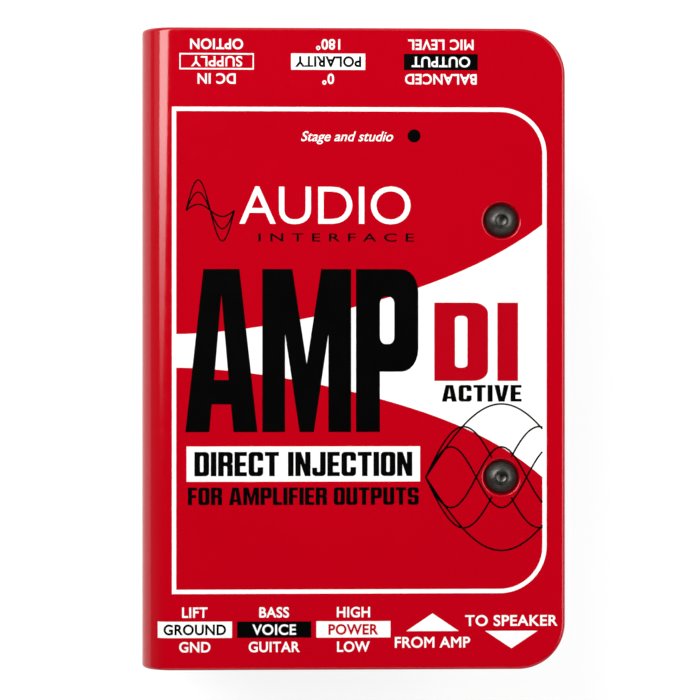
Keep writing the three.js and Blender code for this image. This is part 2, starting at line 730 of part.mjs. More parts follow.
function boardFixing(name, y) {
  const flange = CHASSIS_BOTTOM + SHEET + REST_GAP;
  const bore = BOARD_SCREW.shank + 0.15;
  const spacer = turnedZ(ringProfile(2.6, bore, flange, BOARD_BOTTOM - REST_GAP));
  const head = BOARD_TOP + REST_GAP;
  const screw = turnedZ([
    [0, CHASSIS_BOTTOM + 0.1],
    [BOARD_SCREW.shank, CHASSIS_BOTTOM + 0.1],
    [BOARD_SCREW.shank, head],
    [2.6, head],
    [2.6, head + 1.2],
    [1.6, head + 1.8],
    [0, head + 1.8],
  ]);
  const slot = block([-3, 3], [-0.3, 0.3], [head + 1, head + 3]);
  return group(
    [BOARD_SCREW.x, y, 0],
    mesh(`board_spacer_${name}`, spacer, MATERIALS.nickel),
    mesh(`board_screw_${name}`, cut(screw, slot), MATERIALS.zincSteel),
  );
}

// The isolating transformer under its screening can, centred on (0, 0) with the board at z = 0.
function transformer() {
  const can = { width: 30, length: 27, height: 25, wall: 0.8 };
  const core = { width: 24, stack: 12, height: 20, leg: 4, centreLeg: 8 };
  const lift = 1.5;
  const outer = alongZ(roundedRect(can.width, can.length, 3), REST_GAP, can.height, FINE);
  const cavity = alongZ(
    roundedRect(can.width - 2 * can.wall, can.length - 2 * can.wall, 3 - can.wall),
    -1,
    can.height - can.wall,
    FINE,
  );
  const stack = block(
    [-core.width / 2, core.width / 2],
    [-core.stack / 2, core.stack / 2],
    [lift, lift + core.height],
  );
  const windowLow = lift + core.leg;
  const windowHigh = lift + core.height - core.leg;
  const windows = [-1, 1].map((side) => {
    const near = (side * core.centreLeg) / 2;
    const far = side * (core.width / 2 - core.leg);
    return block(
      [Math.min(near, far), Math.max(near, far)],
      [-core.stack, core.stack],
      [windowLow, windowHigh],
    );
  });
  const coilOuter = roundedRect(15.4, 22, 4);
  const coilInner = roundedRect(core.centreLeg + 0.4, core.stack + 0.4, 0.2);
  const coil = cut(
    alongZ(coilOuter, windowLow + 0.2, windowHigh - 0.2),
    alongZ(coilInner, 0, can.height),
  );
  return group(
    [-19, -16.5, BOARD_TOP],
    mesh('transformer_can', cut(outer, cavity), MATERIALS.canSteel),
    mesh('transformer_core', cut(stack, ...windows), MATERIALS.lamination),
    mesh('transformer_winding', coil, MATERIALS.copper),
  );
}

// The load choke: a ferrite drum with its winding between two flanges.
function choke() {
  const drum = turnedZ([
    [0, REST_GAP],
    [8.5, REST_GAP],
    [8.5, 1.8],
    [3.5, 1.8],
    [3.5, 13],
    [8.5, 13],
    [8.5, 14.7],
    [0, 14.7],
  ], 24);
  const winding = turnedZ(ringProfile(7.8, 3.6, 1.9, 12.9), 24);
  return group(
    [6.5, -12, BOARD_TOP],
    mesh('choke_core', drum, MATERIALS.ferrite),
    mesh('choke_winding', winding, MATERIALS.copper),
  );
}

// A cement power resistor lying along X, with its two leads.
function loadResistor(name, y) {
  const body = block([-11, 11], [-4.5, 4.5], [1, 10]);
  const leads = [-1, 1].map((side) => alongZ(circle(0.4, side * 9, 0), REST_GAP, 2));
  return group([-24, y, BOARD_TOP], mesh(name, join(body, ...leads), MATERIALS.ceramic));
}

function electrolyticCapacitor(name, x, y, radius, height) {
  const can = turnedZ([
    [0, REST_GAP],
    [radius - 0.3, REST_GAP],
    [radius - 0.3, 1.2],
    [radius, 1.6],
    [radius, height - 0.3],
    [radius - 0.3, height],
    [0, height],
  ], 20);
  return group([x, y, BOARD_TOP], mesh(name, can, MATERIALS.sleeve));
}

function filmCapacitor(name, x, y) {
  const body = alongZ(roundedRect(7, 18, 0.6), REST_GAP, 12);
  return group([x, y, BOARD_TOP], mesh(name, body, MATERIALS.filmBlock));
}

// An eight-pin amplifier chip, its body held up on two rows of legs.
function amplifierChip(name, x, y) {
  const body = cut(
    block([-3.2, 3.2], [-4.8, 4.8], [1, 4.4]),
    alongZ(circle(0.7, 0, 4.8), 3.6, 5),
  );
  const leg = (side, row) => {
    const x = side * 3.4;
    const y = (row - 1.5) * 2.54;
    return block([x - 0.4, x + 0.4], [y - 0.3, y + 0.3], [REST_GAP, 2.7]);
  };
  const legs = [-1, 1].flatMap((side) => [0, 1, 2, 3].map((row) => leg(side, row)));
  return group([x, y, BOARD_TOP], mesh(name, join(body, ...legs), MATERIALS.blackPlastic));
}

// ---- The whole box ----

const box = new THREE.Group();
box.add(outerShell(), innerChassis(), basePad());
box.add(...SCREW_PLACES.map(placedCoverScrew));
box.add(...SCREW_PLACES.map(clinchNut));
box.add(...JACKS.map(jack));
box.add(...FRONT_SWITCHES.map((place) => pushSwitch(place)));
box.add(outputConnector(), polaritySwitch(), supplyJack());
box.add(circuitBoard());
box.add(boardFixing('front', -BOARD_SCREW.y), boardFixing('rear', BOARD_SCREW.y));
box.add(transformer(), choke());
box.add(loadResistor('load_resistor_front', 6), loadResistor('load_resistor_rear', 18));
box.add(
  electrolyticCapacitor('supply_capacitor', 0, 25, 5, 20),
  electrolyticCapacitor('coupling_capacitor_left', -4, 6, 4, 12),
  electrolyticCapacitor('coupling_capacitor_right', 6, 8, 4, 12),
);
box.add(filmCapacitor('film_capacitor_left', 18.5, 14), filmCapacitor('film_capacitor_right', 27, 14));
box.add(amplifierChip('amplifier_chip_front', 24, -14), amplifierChip('amplifier_chip_rear', 10, 22));

export default box;
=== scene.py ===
"""Direct injection box: the visible pieces, rebuilt with fine meshes and materials round the frame.

Lengths are in millimetres inside this script and become metres where a mesh is made.
Every piece is built in place in the part's frame: +Z up, -Y the jack end, +X the cover's free edge.
"""
import math
from itertools import combinations

import bmesh
import bpy
from mathutils import Matrix, Vector
from mathutils.geometry import tessellate_polygon


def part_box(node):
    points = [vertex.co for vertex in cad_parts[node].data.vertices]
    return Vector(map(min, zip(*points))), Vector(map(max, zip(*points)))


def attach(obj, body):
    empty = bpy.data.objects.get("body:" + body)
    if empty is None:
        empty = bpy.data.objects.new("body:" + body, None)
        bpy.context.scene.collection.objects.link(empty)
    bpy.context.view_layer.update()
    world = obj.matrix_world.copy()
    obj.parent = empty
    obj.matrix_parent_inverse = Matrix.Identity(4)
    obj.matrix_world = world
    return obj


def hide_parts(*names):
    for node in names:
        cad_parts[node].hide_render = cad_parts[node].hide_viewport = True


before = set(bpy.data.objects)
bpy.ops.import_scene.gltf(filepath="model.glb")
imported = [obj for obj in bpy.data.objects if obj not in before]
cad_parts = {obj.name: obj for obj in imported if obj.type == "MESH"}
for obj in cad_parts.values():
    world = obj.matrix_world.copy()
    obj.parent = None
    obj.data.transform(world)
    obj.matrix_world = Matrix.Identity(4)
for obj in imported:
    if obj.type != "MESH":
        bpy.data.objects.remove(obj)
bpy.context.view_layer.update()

MM = 0.001
ROOT = "box"


def node_box(node):
    """Lowest and highest corner of a CAD node, in millimetres."""
    low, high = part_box(node)
    return Vector(low) / MM, Vector(high) / MM


SHELL_LOW, SHELL_HIGH = node_box("outer_shell")
CHASSIS_LOW, CHASSIS_HIGH = node_box("inner_chassis")
PLATE_Z = SHELL_HIGH.z
FRONT, REAR = CHASSIS_LOW.y, CHASSIS_HIGH.y  # outer faces of the two end panels


def centre(node):
    low, high = node_box(node)
    return (low + high) / 2


# ---- Materials ----

def material(name, colour, roughness, metallic, **sockets):
    """A Principled material, its nodes, links and shader."""
    made = bpy.data.materials.new(name)
    made.use_nodes = True
    nodes, links = made.node_tree.nodes, made.node_tree.links
    shader = nodes["Principled BSDF"]
    shader.inputs["Base Color"].default_value = (*colour, 1)
    shader.inputs["Roughness"].default_value = roughness
    shader.inputs["Metallic"].default_value = metallic
    for socket, value in sockets.items():
        shader.inputs[socket.replace("_", " ")].default_value = value
    return made, nodes, links, shader


def noise(nodes, links, per_mm, detail=3.0, stretch=(1, 1, 1)):
    """A noise texture in the object's own millimetres."""
    place = nodes.new("ShaderNodeTexCoord")
    scale = nodes.new("ShaderNodeMapping")
    scale.inputs["Scale"].default_value = [s * per_mm / MM for s in stretch]
    texture = nodes.new("ShaderNodeTexNoise")
    texture.inputs["Scale"].default_value = 1.0
    texture.inputs["Detail"].default_value = detail
    links.new(place.outputs["Object"], scale.inputs["Vector"])
    links.new(scale.outputs["Vector"], texture.inputs["Vector"])
    return texture.outputs["Fac"]


def spread(nodes, links, value, low, high, start=0.3, end=0.7):
    """The texture's value moved to the range from low to high."""
    remap = nodes.new("ShaderNodeMapRange")
    remap.inputs["From Min"].default_value = start
    remap.inputs["From Max"].default_value = end
    remap.inputs["To Min"].default_value = low
    remap.inputs["To Max"].default_value = high
    links.new(value, remap.inputs["Value"])
    return remap.outputs["Result"]


def tint(nodes, links, shader, value, first, second):
    """Base colour that runs between two colours with the texture's value."""
    ramp = nodes.new("ShaderNodeValToRGB")
    ramp.color_ramp.elements[0].position = 0.3
    ramp.color_ramp.elements[1].position = 0.7
    ramp.color_ramp.elements[0].color = (*first, 1)
    ramp.color_ramp.elements[1].color = (*second, 1)
    links.new(value, ramp.inputs["Fac"])
    links.new(ramp.outputs["Color"], shader.inputs["Base Color"])


def bump(nodes, links, shader, value, height_mm):
    """Relief of a given height that follows the texture's value."""
    made = nodes.new("ShaderNodeBump")
    made.inputs["Strength"].default_value = 1.0
    made.inputs["Distance"].default_value = height_mm * MM
    links.new(value, made.inputs["Height"])
    links.new(made.outputs["Normal"], shader.inputs["Normal"])


def textured(name, first, second, rough, metallic=0.0, grain=2.0, height=0.02, patch=0.15,
             **sockets):
    """Two close colours in soft patches, uneven gloss and a fine grain."""
    made, nodes, links, shader = material(name, first, rough[0], metallic, **sockets)
    patches = noise(nodes, links, patch)
    grains = noise(nodes, links, grain)
    tint(nodes, links, shader, patches, first, second)
    links.new(spread(nodes, links, grains, *rough), shader.inputs["Roughness"])
    bump(nodes, links, shader, grains, height)
    return made


def brushed(name, first, second, rough, stretch, per_mm=6.0, height=0.004):
    """Metal with fine marks drawn out along one direction."""
    made, nodes, links, shader = material(name, first, rough[0], 1.0)
    marks = noise(nodes, links, per_mm, 4.0, stretch)
    tint(nodes, links, shader, noise(nodes, links, 0.3), first, second)
    links.new(spread(nodes, links, marks, *rough), shader.inputs["Roughness"])
    bump(nodes, links, shader, marks, height)
    return made


RED = textured("red_enamel", (0.412, 0.0001, 0.0064), (0.427, 0.0001, 0.0068), (0.09, 0.13),
               grain=0.45, height=0.005, patch=0.04, Specular_IOR_Level=0.42)
BLACK_POWDER = textured("black_powder_coat", (0.012, 0.012, 0.013), (0.016, 0.016, 0.017),
                        (0.42, 0.6), grain=3.5, height=0.03)
PAD_RUBBER = textured("pad_rubber", (0.016, 0.016, 0.017), (0.024, 0.024, 0.025), (0.8, 0.95),
                      grain=2.2, height=0.09)
BLACK_OXIDE = textured("black_oxide", (0.05, 0.047, 0.042), (0.10, 0.095, 0.085), (0.3, 0.48),
                       metallic=1.0, grain=3.0, height=0.012, patch=0.6)
NICKEL = brushed("nickel_plate", (0.66, 0.64, 0.60), (0.74, 0.72, 0.67), (0.17, 0.25),
                 stretch=(1, 1, 1), per_mm=1.6, height=0.001)
ZINC = brushed("zinc_plate", (0.55, 0.56, 0.58), (0.66, 0.67, 0.70), (0.25, 0.42),
               stretch=(1, 1, 4))
SILVER = brushed("contact_silver", (0.78, 0.76, 0.71), (0.86, 0.84, 0.79), (0.14, 0.26),
                 stretch=(1, 0.1, 1))
BLACK_NYLON = textured("black_nylon", (0.012, 0.012, 0.012), (0.018, 0.018, 0.018), (0.38, 0.55),
                       grain=5.0, height=0.015)
BUTTON_WHITE = textured("button_white", (0.70, 0.68, 0.62), (0.74, 0.72, 0.67), (0.34, 0.45),
                        grain=3.0, height=0.006)
BOARD_GREEN = textured("board_laminate", (0.008, 0.07, 0.022), (0.014, 0.10, 0.034), (0.25, 0.4),
                       grain=1.5, height=0.012, patch=0.5)
CAN_STEEL = brushed("can_steel", (0.40, 0.41, 0.43), (0.50, 0.51, 0.53), (0.3, 0.5),
                    stretch=(1, 1, 0.05))
LAMINATION = brushed("lamination", (0.14, 0.14, 0.15), (0.22, 0.22, 0.23), (0.4, 0.6),
                     stretch=(0.1, 6, 0.1), per_mm=1.0, height=0.05)
COPPER = brushed("copper_wire", (0.55, 0.19, 0.07), (0.68, 0.27, 0.10), (0.22, 0.4),
                 stretch=(0.2, 0.2, 5), per_mm=1.0, height=0.05)
FERRITE = textured("ferrite", (0.03, 0.03, 0.032), (0.05, 0.05, 0.052), (0.5, 0.75))
CEMENT = textured("cement", (0.58, 0.56, 0.50), (0.70, 0.68, 0.62), (0.75, 0.92),
                  grain=1.5, height=0.06)
SLEEVE = textured("capacitor_sleeve", (0.010, 0.014, 0.03), (0.014, 0.02, 0.04), (0.25, 0.35),
                  grain=0.8)
FILM_BLOCK = textured("film_block", (0.32, 0.02, 0.012), (0.38, 0.03, 0.018), (0.3, 0.42),
                      grain=0.8)
WHITE_INK = textured("white_ink", (0.80, 0.79, 0.78), (0.84, 0.83, 0.82), (0.2, 0.28),
                     grain=4.0, height=0.002)
BLACK_INK = textured("black_ink", (0.0008, 0.0008, 0.0008), (0.0014, 0.0013, 0.0013), (0.14, 0.2),
                     grain=4.0, height=0.002, Specular_IOR_Level=0.3)
RED_INK = textured("red_ink", (0.385, 0.0002, 0.0062), (0.40, 0.0003, 0.0068), (0.14, 0.2),
                   grain=4.0, height=0.002, Specular_IOR_Level=0.42)


# ---- Mesh tools ----

SHARP_ANGLE = math.radians(38)  # an edge that turns more than this is drawn as a crease
MERGE_DISTANCE = 1e-7  # in metres


def finish_piece(name, bm, look, body, replaced=()):
    """Turns a bmesh in millimetres into a shaded piece that rides on a body."""
    bmesh.ops.scale(bm, vec=(MM, MM, MM), verts=bm.verts)
    bmesh.ops.remove_doubles(bm, verts=bm.verts, dist=MERGE_DISTANCE)
    bmesh.ops.dissolve_degenerate(bm, edges=bm.edges, dist=MERGE_DISTANCE / 10)
    bmesh.ops.recalc_face_normals(bm, faces=bm.faces)
    for face in bm.faces:
        face.smooth = True
    for edge in bm.edges:
        if edge.calc_face_angle(0) > SHARP_ANGLE:
            edge.smooth = False
    mesh = bpy.data.meshes.new(name)
    bm.to_mesh(mesh)
    bm.free()
    mesh.materials.append(look)
    piece = bpy.data.objects.new(name, mesh)
    bpy.context.collection.objects.link(piece)
    normals = piece.modifiers.new("even_normals", "WEIGHTED_NORMAL")
    normals.keep_sharp = True
    if body:
        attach(piece, body)
    if replaced:
        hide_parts(*replaced)
    return piece


def rounded(corners, steps=8):
    """Outline from (x, y) or (x, y, radius) corners, each corner with a radius drawn as an arc."""
    outline = []
    count = len(corners)
    for i, corner in enumerate(corners):
        here = Vector(corner[:2])
        radius = corner[2] if len(corner) > 2 else 0
        if not radius:
            outline.append(here)
            continue
        before = (Vector(corners[i - 1][:2]) - here).normalized()
        after = (Vector(corners[(i + 1) % count][:2]) - here).normalized()
        half = math.acos(max(-1, min(1, before.dot(after)))) / 2
        centre_point = here + (before + after).normalized() * (radius / math.sin(half))
        start = here + before * (radius / math.tan(half)) - centre_point
        turn = math.copysign(math.pi - 2 * half, after.cross(before))
        for step in range(steps + 1):
            outline.append(centre_point + Matrix.Rotation(turn * step / steps, 2) @ start)
    return outline


def rectangle(width, height, radius=0.0, x=0.0, y=0.0):
    w, h = width / 2, height / 2
    corners = [(x - w, y - h), (x + w, y - h), (x + w, y + h), (x - w, y + h)]
    return rounded([(*c, radius) for c in corners])


def circle(radius, x=0.0, y=0.0, steps=96):
    angles = [2 * math.pi / steps * i for i in range(steps)]
    return [Vector((x + radius * math.cos(a), y + radius * math.sin(a))) for a in angles]


def hexagon(across_flats):
    return circle(across_flats / math.sqrt(3), steps=6)


def slab(outline, low, high):
    """Solid between two heights with a given outline in X and Y."""
    bm = bmesh.new()
    verts = [bm.verts.new((p.x, p.y, low)) for p in outline]
    face = bm.faces.new(verts)
    top = bmesh.ops.extrude_face_region(bm, geom=[face])["geom"]
    lifted = [g for g in top if isinstance(g, bmesh.types.BMVert)]
    bmesh.ops.translate(bm, vec=(0, 0, high - low), verts=lifted)
    bmesh.ops.recalc_face_normals(bm, faces=bm.faces)
    return bm


def thread_cut(thread, height, round_part):
    """How far a thread goes in, at a height and a part of the way round."""
    low, high, pitch, depth = thread[1:]
    phase = (height / pitch + round_part) % 1.0
    fade = min(1.0, (height - low) / pitch, (high - height) / pitch)
    return depth * abs(2 * phase - 1) * max(fade, 0)


def turned(profile, steps=96, closed=False, thread=None):
    """Solid turned about Z from (radius, height) points. A closed profile makes a ring.

    thread = (radius, low, high, pitch, depth) cuts a helix into the wall of that radius.
    """
    bm = bmesh.new()
    rings = []
    for radius, height in profile:
        if radius < 1e-6:
            rings.append([bm.verts.new((0, 0, height))])
            continue
        ring = []
        for i in range(steps):
            angle = 2 * math.pi * i / steps
            r = radius
            if thread and radius == thread[0] and thread[1] <= height <= thread[2]:
                r -= thread_cut(thread, height, i / steps)
            ring.append(bm.verts.new((r * math.cos(angle), r * math.sin(angle), height)))
        rings.append(ring)
    pairs = list(zip(rings, rings[1:]))
    if closed:
        pairs.append((rings[-1], rings[0]))
    for first, second in pairs:
        for i in range(steps):
            j = (i + 1) % steps
            if len(first) == 1 and len(second) == 1:
                continue
            if len(first) == 1:
                bm.faces.new((first[0], second[i], second[j]))
            elif len(second) == 1:
                bm.faces.new((first[i], first[j], second[0]))
            else:
                bm.faces.new((first[i], first[j], second[j], second[i]))
    bmesh.ops.recalc_face_normals(bm, faces=bm.faces)
    return bm


def boolean(body, tools, operation="DIFFERENCE"):
    """Body cut by, or shared with, each tool. All are bmeshes, and the tools are used up."""
    holders = []
    for bm in [body, *tools]:
        mesh = bpy.data.meshes.new("boolean")
        bm.to_mesh(mesh)
        bm.free()
        holder = bpy.data.objects.new("boolean", mesh)
        bpy.context.collection.objects.link(holder)
        holders.append(holder)
    base = holders[0]
    for tool in holders[1:]:
        step = base.modifiers.new("step", "BOOLEAN")
        step.operation = operation
        step.solver = "EXACT"
        step.object = tool
    bpy.context.view_layer.update()
    graph = bpy.context.evaluated_depsgraph_get()
    made = bpy.data.meshes.new_from_object(base.evaluated_get(graph))
    result = bmesh.new()
    result.from_mesh(made)
    for holder in holders:
        mesh = holder.data
        bpy.data.objects.remove(holder)
        bpy.data.meshes.remove(mesh)
    bpy.data.meshes.remove(made)
    return result


def cut_across(bm, x):
    """Adds edges where a plane of constant X crosses the mesh."""
    geometry = [*bm.verts, *bm.edges, *bm.faces]
    bmesh.ops.bisect_plane(bm, geom=geometry, plane_co=(x, 0, 0), plane_no=(1, 0, 0), dist=1e-5)


def moved(bm, matrix):
    bmesh.ops.transform(bm, matrix=matrix, verts=bm.verts)
    return bm


def out_of_panel(node, side):
    """Puts a piece made along +Z on a CAD node's axis, its height 0 on an end panel's outer face.

    side is -1 for the front panel and 1 for the rear one.
    """
    middle = centre(node)
    turn = Matrix.Rotation(math.pi / 2, 4, "X")
    if side > 0:
        turn = Matrix.Rotation(math.pi, 4, "Z") @ turn
    return Matrix.Translation((middle.x, FRONT if side < 0 else REAR, middle.z)) @ turn


# ---- Cover: a flat sheet with its edges and seats, bent round the left side ----

SHEET = 1.9
BEND_RADIUS = 6.35
CORNER_RADIUS = 9.3
OUTER_EDGE, INNER_EDGE = 0.75, 0.3  # how far the paint rounds the sheet's edges
SEAT_DEPTH = 0.9
SEAT_RADIUS, SEAT_LIP = 3.55, 0.4
SCREW_HOLE_RADIUS = 1.95
BEND_STEPS = 24

BEND_X = SHELL_LOW.x + BEND_RADIUS
PLATE = SHELL_HIGH.x - BEND_X
ARC = BEND_RADIUS * math.pi / 2
WALL = SHELL_HIGH.z - SHELL_LOW.z - 2 * BEND_RADIUS
FLAT_WIDTH = 2 * PLATE + 2 * ARC + WALL

SCREW_CENTRE = centre("cover_screw_top_front")
SCREW_X, SCREW_Y = SCREW_CENTRE.x, abs(SCREW_CENTRE.y)


def sheet_point(u, y, depth):
    """Where a point of the flat sheet lies once bent.

    u runs from the top plate's free edge round to the bottom plate's, along the outer face, and
    depth goes in from that face.
    """
    radius = BEND_RADIUS - depth
    if u <= PLATE:
        return Vector((SHELL_HIGH.x - u, y, SHELL_HIGH.z - depth))
    u -= PLATE
    if u <= ARC:
        angle = u / BEND_RADIUS
        centre_z = SHELL_HIGH.z - BEND_RADIUS
        return Vector((BEND_X - radius * math.sin(angle), y, centre_z + radius * math.cos(angle)))
    u -= ARC
    if u <= WALL:
        return Vector((SHELL_LOW.x + depth, y, SHELL_HIGH.z - BEND_RADIUS - u))
    u -= WALL
    if u <= ARC:
        angle = u / BEND_RADIUS
        centre_z = SHELL_LOW.z + BEND_RADIUS
        return Vector((BEND_X - radius * math.cos(angle), y, centre_z - radius * math.sin(angle)))
    return Vector((BEND_X + u - ARC, y, SHELL_LOW.z + depth))


def rim(bm, height):
    """The edges that lie at one height."""
    return [e for e in bm.edges if all(abs(v.co.z - height) < 1e-6 for v in e.verts)]


def round_rim(bm, edges, offset, segments):
    bmesh.ops.bevel(bm, geom=edges, offset=offset, segments=segments, profile=0.5, affect="EDGES")


def screw_seat(u, y):
    """What a screw's seat and hole take out of the flat sheet, its lip rounded by the paint."""
    lip = []
    for step in range(7):
        angle = math.pi / 2 * step / 6
        out, down = SEAT_LIP * (1 - math.sin(angle)), SEAT_LIP * (1 - math.cos(angle))
        lip.append((SEAT_RADIUS + out, down))
    profile = [(0, -1), (SEAT_RADIUS + SEAT_LIP, -1), *lip,
               (SEAT_RADIUS - 0.05, SEAT_DEPTH - 0.1), (SEAT_RADIUS - 0.15, SEAT_DEPTH),
               (SCREW_HOLE_RADIUS, SEAT_DEPTH), (SCREW_HOLE_RADIUS, SHEET + 1), (0, SHEET + 1)]
    return moved(turned(profile), Matrix.Translation((u, y, 0)))


def make_cover():
    half = SHELL_HIGH.y
    corners = [(0, -half), (FLAT_WIDTH, -half), (FLAT_WIDTH, half), (0, half)]
    sheet = slab(rounded([(*c, CORNER_RADIUS) for c in corners], steps=24), 0, SHEET)
    outer_rim, inner_rim = rim(sheet, 0), rim(sheet, SHEET)
    round_rim(sheet, outer_rim, OUTER_EDGE, 6)
    round_rim(sheet, [e for e in inner_rim if e.is_valid], INNER_EDGE, 3)
    inset = SHELL_HIGH.x - SCREW_X
    seats = [screw_seat(u, y) for u in (inset, FLAT_WIDTH - inset) for y in (-SCREW_Y, SCREW_Y)]
    sheet = boolean(sheet, seats)
    for start in (PLATE, PLATE + ARC + WALL):
        for step in range(BEND_STEPS + 1):
            cut_across(sheet, start + ARC * step / BEND_STEPS)
    for vert in sheet.verts:
        vert.co = sheet_point(*vert.co)
    finish_piece("cover_shell", sheet, RED, ROOT, ["outer_shell"])


# ---- Cover screws ----

HEAD_RADIUS, HEAD_HEIGHT = 3.3, 1.85
HEAD_RIM = 0.25  # height of the upright wall under the dome
HEAD_FLAT = 1.5  # radius of the flat round the socket
SHANK_RADIUS, SHANK_LENGTH = 1.72, 4.76
SOCKET_ACROSS_FLATS = 2.0


def head_dome():
    """The button head from its rim up to the flat round the socket: part of one sphere."""
    rise = HEAD_HEIGHT ** 2 - HEAD_RIM ** 2 - HEAD_RADIUS ** 2 + HEAD_FLAT ** 2
    middle = rise / (2 * (HEAD_HEIGHT - HEAD_RIM))
    sphere = math.hypot(HEAD_RADIUS, HEAD_RIM - middle)
    low, high = math.asin(HEAD_RADIUS / sphere), math.asin(HEAD_FLAT / sphere)
    angles = [low + (high - low) * i / 16 for i in range(17)]
    return [(sphere * math.sin(a), middle + sphere * math.cos(a)) for a in angles]


def make_cover_screw(node):
    low, high = node_box(node)
    on_top = high.z > PLATE_Z
    seat_z = high.z - HEAD_HEIGHT if on_top else low.z + HEAD_HEIGHT
    profile = [(0, -SHANK_LENGTH), (1.4, -SHANK_LENGTH), (SHANK_RADIUS, -4.4), (SHANK_RADIUS, 0),
               (3.15, 0), (HEAD_RADIUS, 0.12), *head_dome(), (0, HEAD_HEIGHT)]
    socket = slab(hexagon(SOCKET_ACROSS_FLATS), 0.75, 3)
    drill = turned([(0, 0.3), (0.98, 0.72), (0.98, 0.9), (0, 0.9)], 48)
    lead = turned([(0, 1.6), (1.0, 1.68), (1.16, 1.87), (1.16, 3), (0, 3)], 48)
    body = boolean(turned(profile), [socket, drill, lead])
    flip = Matrix.Rotation(0 if on_top else math.pi, 4, "X")
    moved(body, Matrix.Translation((SCREW_X, (low.y + high.y) / 2, seat_z)) @ flip)
    finish_piece(f"{node}_fine", body, BLACK_OXIDE, ROOT, [node])


# ---- Jacks ----

BORE_RADIUS, BARREL_RADIUS, COLLAR_RADIUS = 3.3, 4.7, 6.2
BUSHING_BACK, BUSHING_FACE = -6, 4.4
COLLAR_BACK, COLLAR_FACE = -2.75, -1.95
WALL_BACK, WALL_FACE, WALL_STEPS = -1.9, 4.1, 72
THREAD = (BARREL_RADIUS, WALL_BACK, 4.2, 0.75, 0.16)
WASHER_INNER, WASHER_OUTER, WASHER_BACK, WASHER_FACE = 4.9, 6.9, 0.05, 0.85
NUT_ACROSS_FLATS, NUT_BACK, NUT_FACE = 12.7, 0.9, 3.2
NUT_HOLE_RADIUS = 4.85


def jack_bushing():
    """A threaded barrel with a collar behind the panel and a rounded mouth."""
    step = (WALL_FACE - WALL_BACK) / WALL_STEPS
    wall = [(BARREL_RADIUS, WALL_BACK + step * i) for i in range(WALL_STEPS + 1)]
    profile = [(BORE_RADIUS, BUSHING_BACK), (BARREL_RADIUS, BUSHING_BACK),
               (BARREL_RADIUS, COLLAR_BACK), (COLLAR_RADIUS, COLLAR_BACK),
               (COLLAR_RADIUS, COLLAR_FACE), (BARREL_RADIUS, COLLAR_FACE), *wall,
               (4.35, BUSHING_FACE), (3.75, BUSHING_FACE), (3.45, 4.3), (BORE_RADIUS, 4.0)]
    return turned(profile, closed=True, thread=THREAD)


def jack_washer():
    corners = [(WASHER_INNER, WASHER_BACK), (WASHER_OUTER, WASHER_BACK),
               (WASHER_OUTER, WASHER_FACE), (WASHER_INNER, WASHER_FACE)]
    return turned([tuple(p) for p in rounded([(*c, 0.15) for c in corners], 4)], closed=True)


def jack_nut():
    """A hexagon with its outer corners turned down by a cone and a countersunk hole."""
    cone = turned([(0, NUT_BACK), (7.6, NUT_BACK), (7.6, 2.55), (6.35, NUT_FACE), (0, NUT_FACE)])
    hole = turned([(0, 0), (NUT_HOLE_RADIUS, 0), (NUT_HOLE_RADIUS, 2.95), (5.2, 3.3), (5.2, 5),
                   (0, 5)])
    nut = boolean(slab(hexagon(NUT_ACROSS_FLATS), NUT_BACK, NUT_FACE), [cone], "INTERSECT")
    return boolean(nut, [hole])


def make_jack(name):
    place = out_of_panel(f"{name}_bushing", -1)
    for part, mesh in (("bushing", jack_bushing()), ("washer", jack_washer()), ("nut", jack_nut())):
        node = f"{name}_{part}"
        finish_piece(f"{node}_fine", moved(mesh, place), NICKEL, ROOT, [node])


# ---- Push buttons ----

BUTTON_WIDTH, BUTTON_HEIGHT, BUTTON_CORNER = 6.0, 4.4, 0.7
BUTTON_BACK, BUTTON_FACE, BUTTON_EDGE = -1.6, 4.6, 0.45
STEM_SIDE, STEM_BACK, STEM_FRONT = 3, -11, -1.4


def make_button(node, side):
    """A cap with a shallow dish in its face, on a square stem."""
    cap = slab(rectangle(BUTTON_WIDTH, BUTTON_HEIGHT, BUTTON_CORNER), BUTTON_BACK, BUTTON_FACE)
    round_rim(cap, rim(cap, BUTTON_FACE), BUTTON_EDGE, 4)
    stem = slab(rectangle(STEM_SIDE, STEM_SIDE, 0.2), STEM_BACK, STEM_FRONT)
    dish = turned([(0, 4.42), (1.2, 4.45), (2.0, 4.56), (2.4, 4.7), (2.4, 6), (0, 6)], 64)
    body = boolean(boolean(cap, [stem], "UNION"), [dish])
    finish_piece(f"{node}_fine", moved(body, out_of_panel(node, side)), BUTTON_WHITE, node, [node])


# ---- Output connector ----

FLANGE_WIDTH, FLANGE_HEIGHT, FLANGE_CORNER = 26, 31, 2.5
FLANGE_BACK, FLANGE_FACE, FLANGE_EDGE = 0.05, 2.2, 0.5
OUTPUT_BARREL_RADIUS, OUTPUT_BARREL_BACK = 11.7, -17
SOCKET_RADIUS, SOCKET_FLOOR = 8.2, -10.6
REAR_SPACE_RADIUS = 9.4
NOTCH_WIDTH, NOTCH_HEIGHT, NOTCH_Y = 3.4, 3.9, 7.95
OUTPUT_SCREW_X, OUTPUT_SCREW_Y = 9.5, 12


def flange_screw_hole(side):
    """A countersunk hole for one of the two screws, which lie on a diagonal."""
    hole = turned([(0, -2), (1.6, -2), (1.6, 0.55), (2.95, 1.9), (2.95, 4), (0, 4)], 64)
    return moved(hole, Matrix.Translation((side * OUTPUT_SCREW_X, -side * OUTPUT_SCREW_Y, 0)))


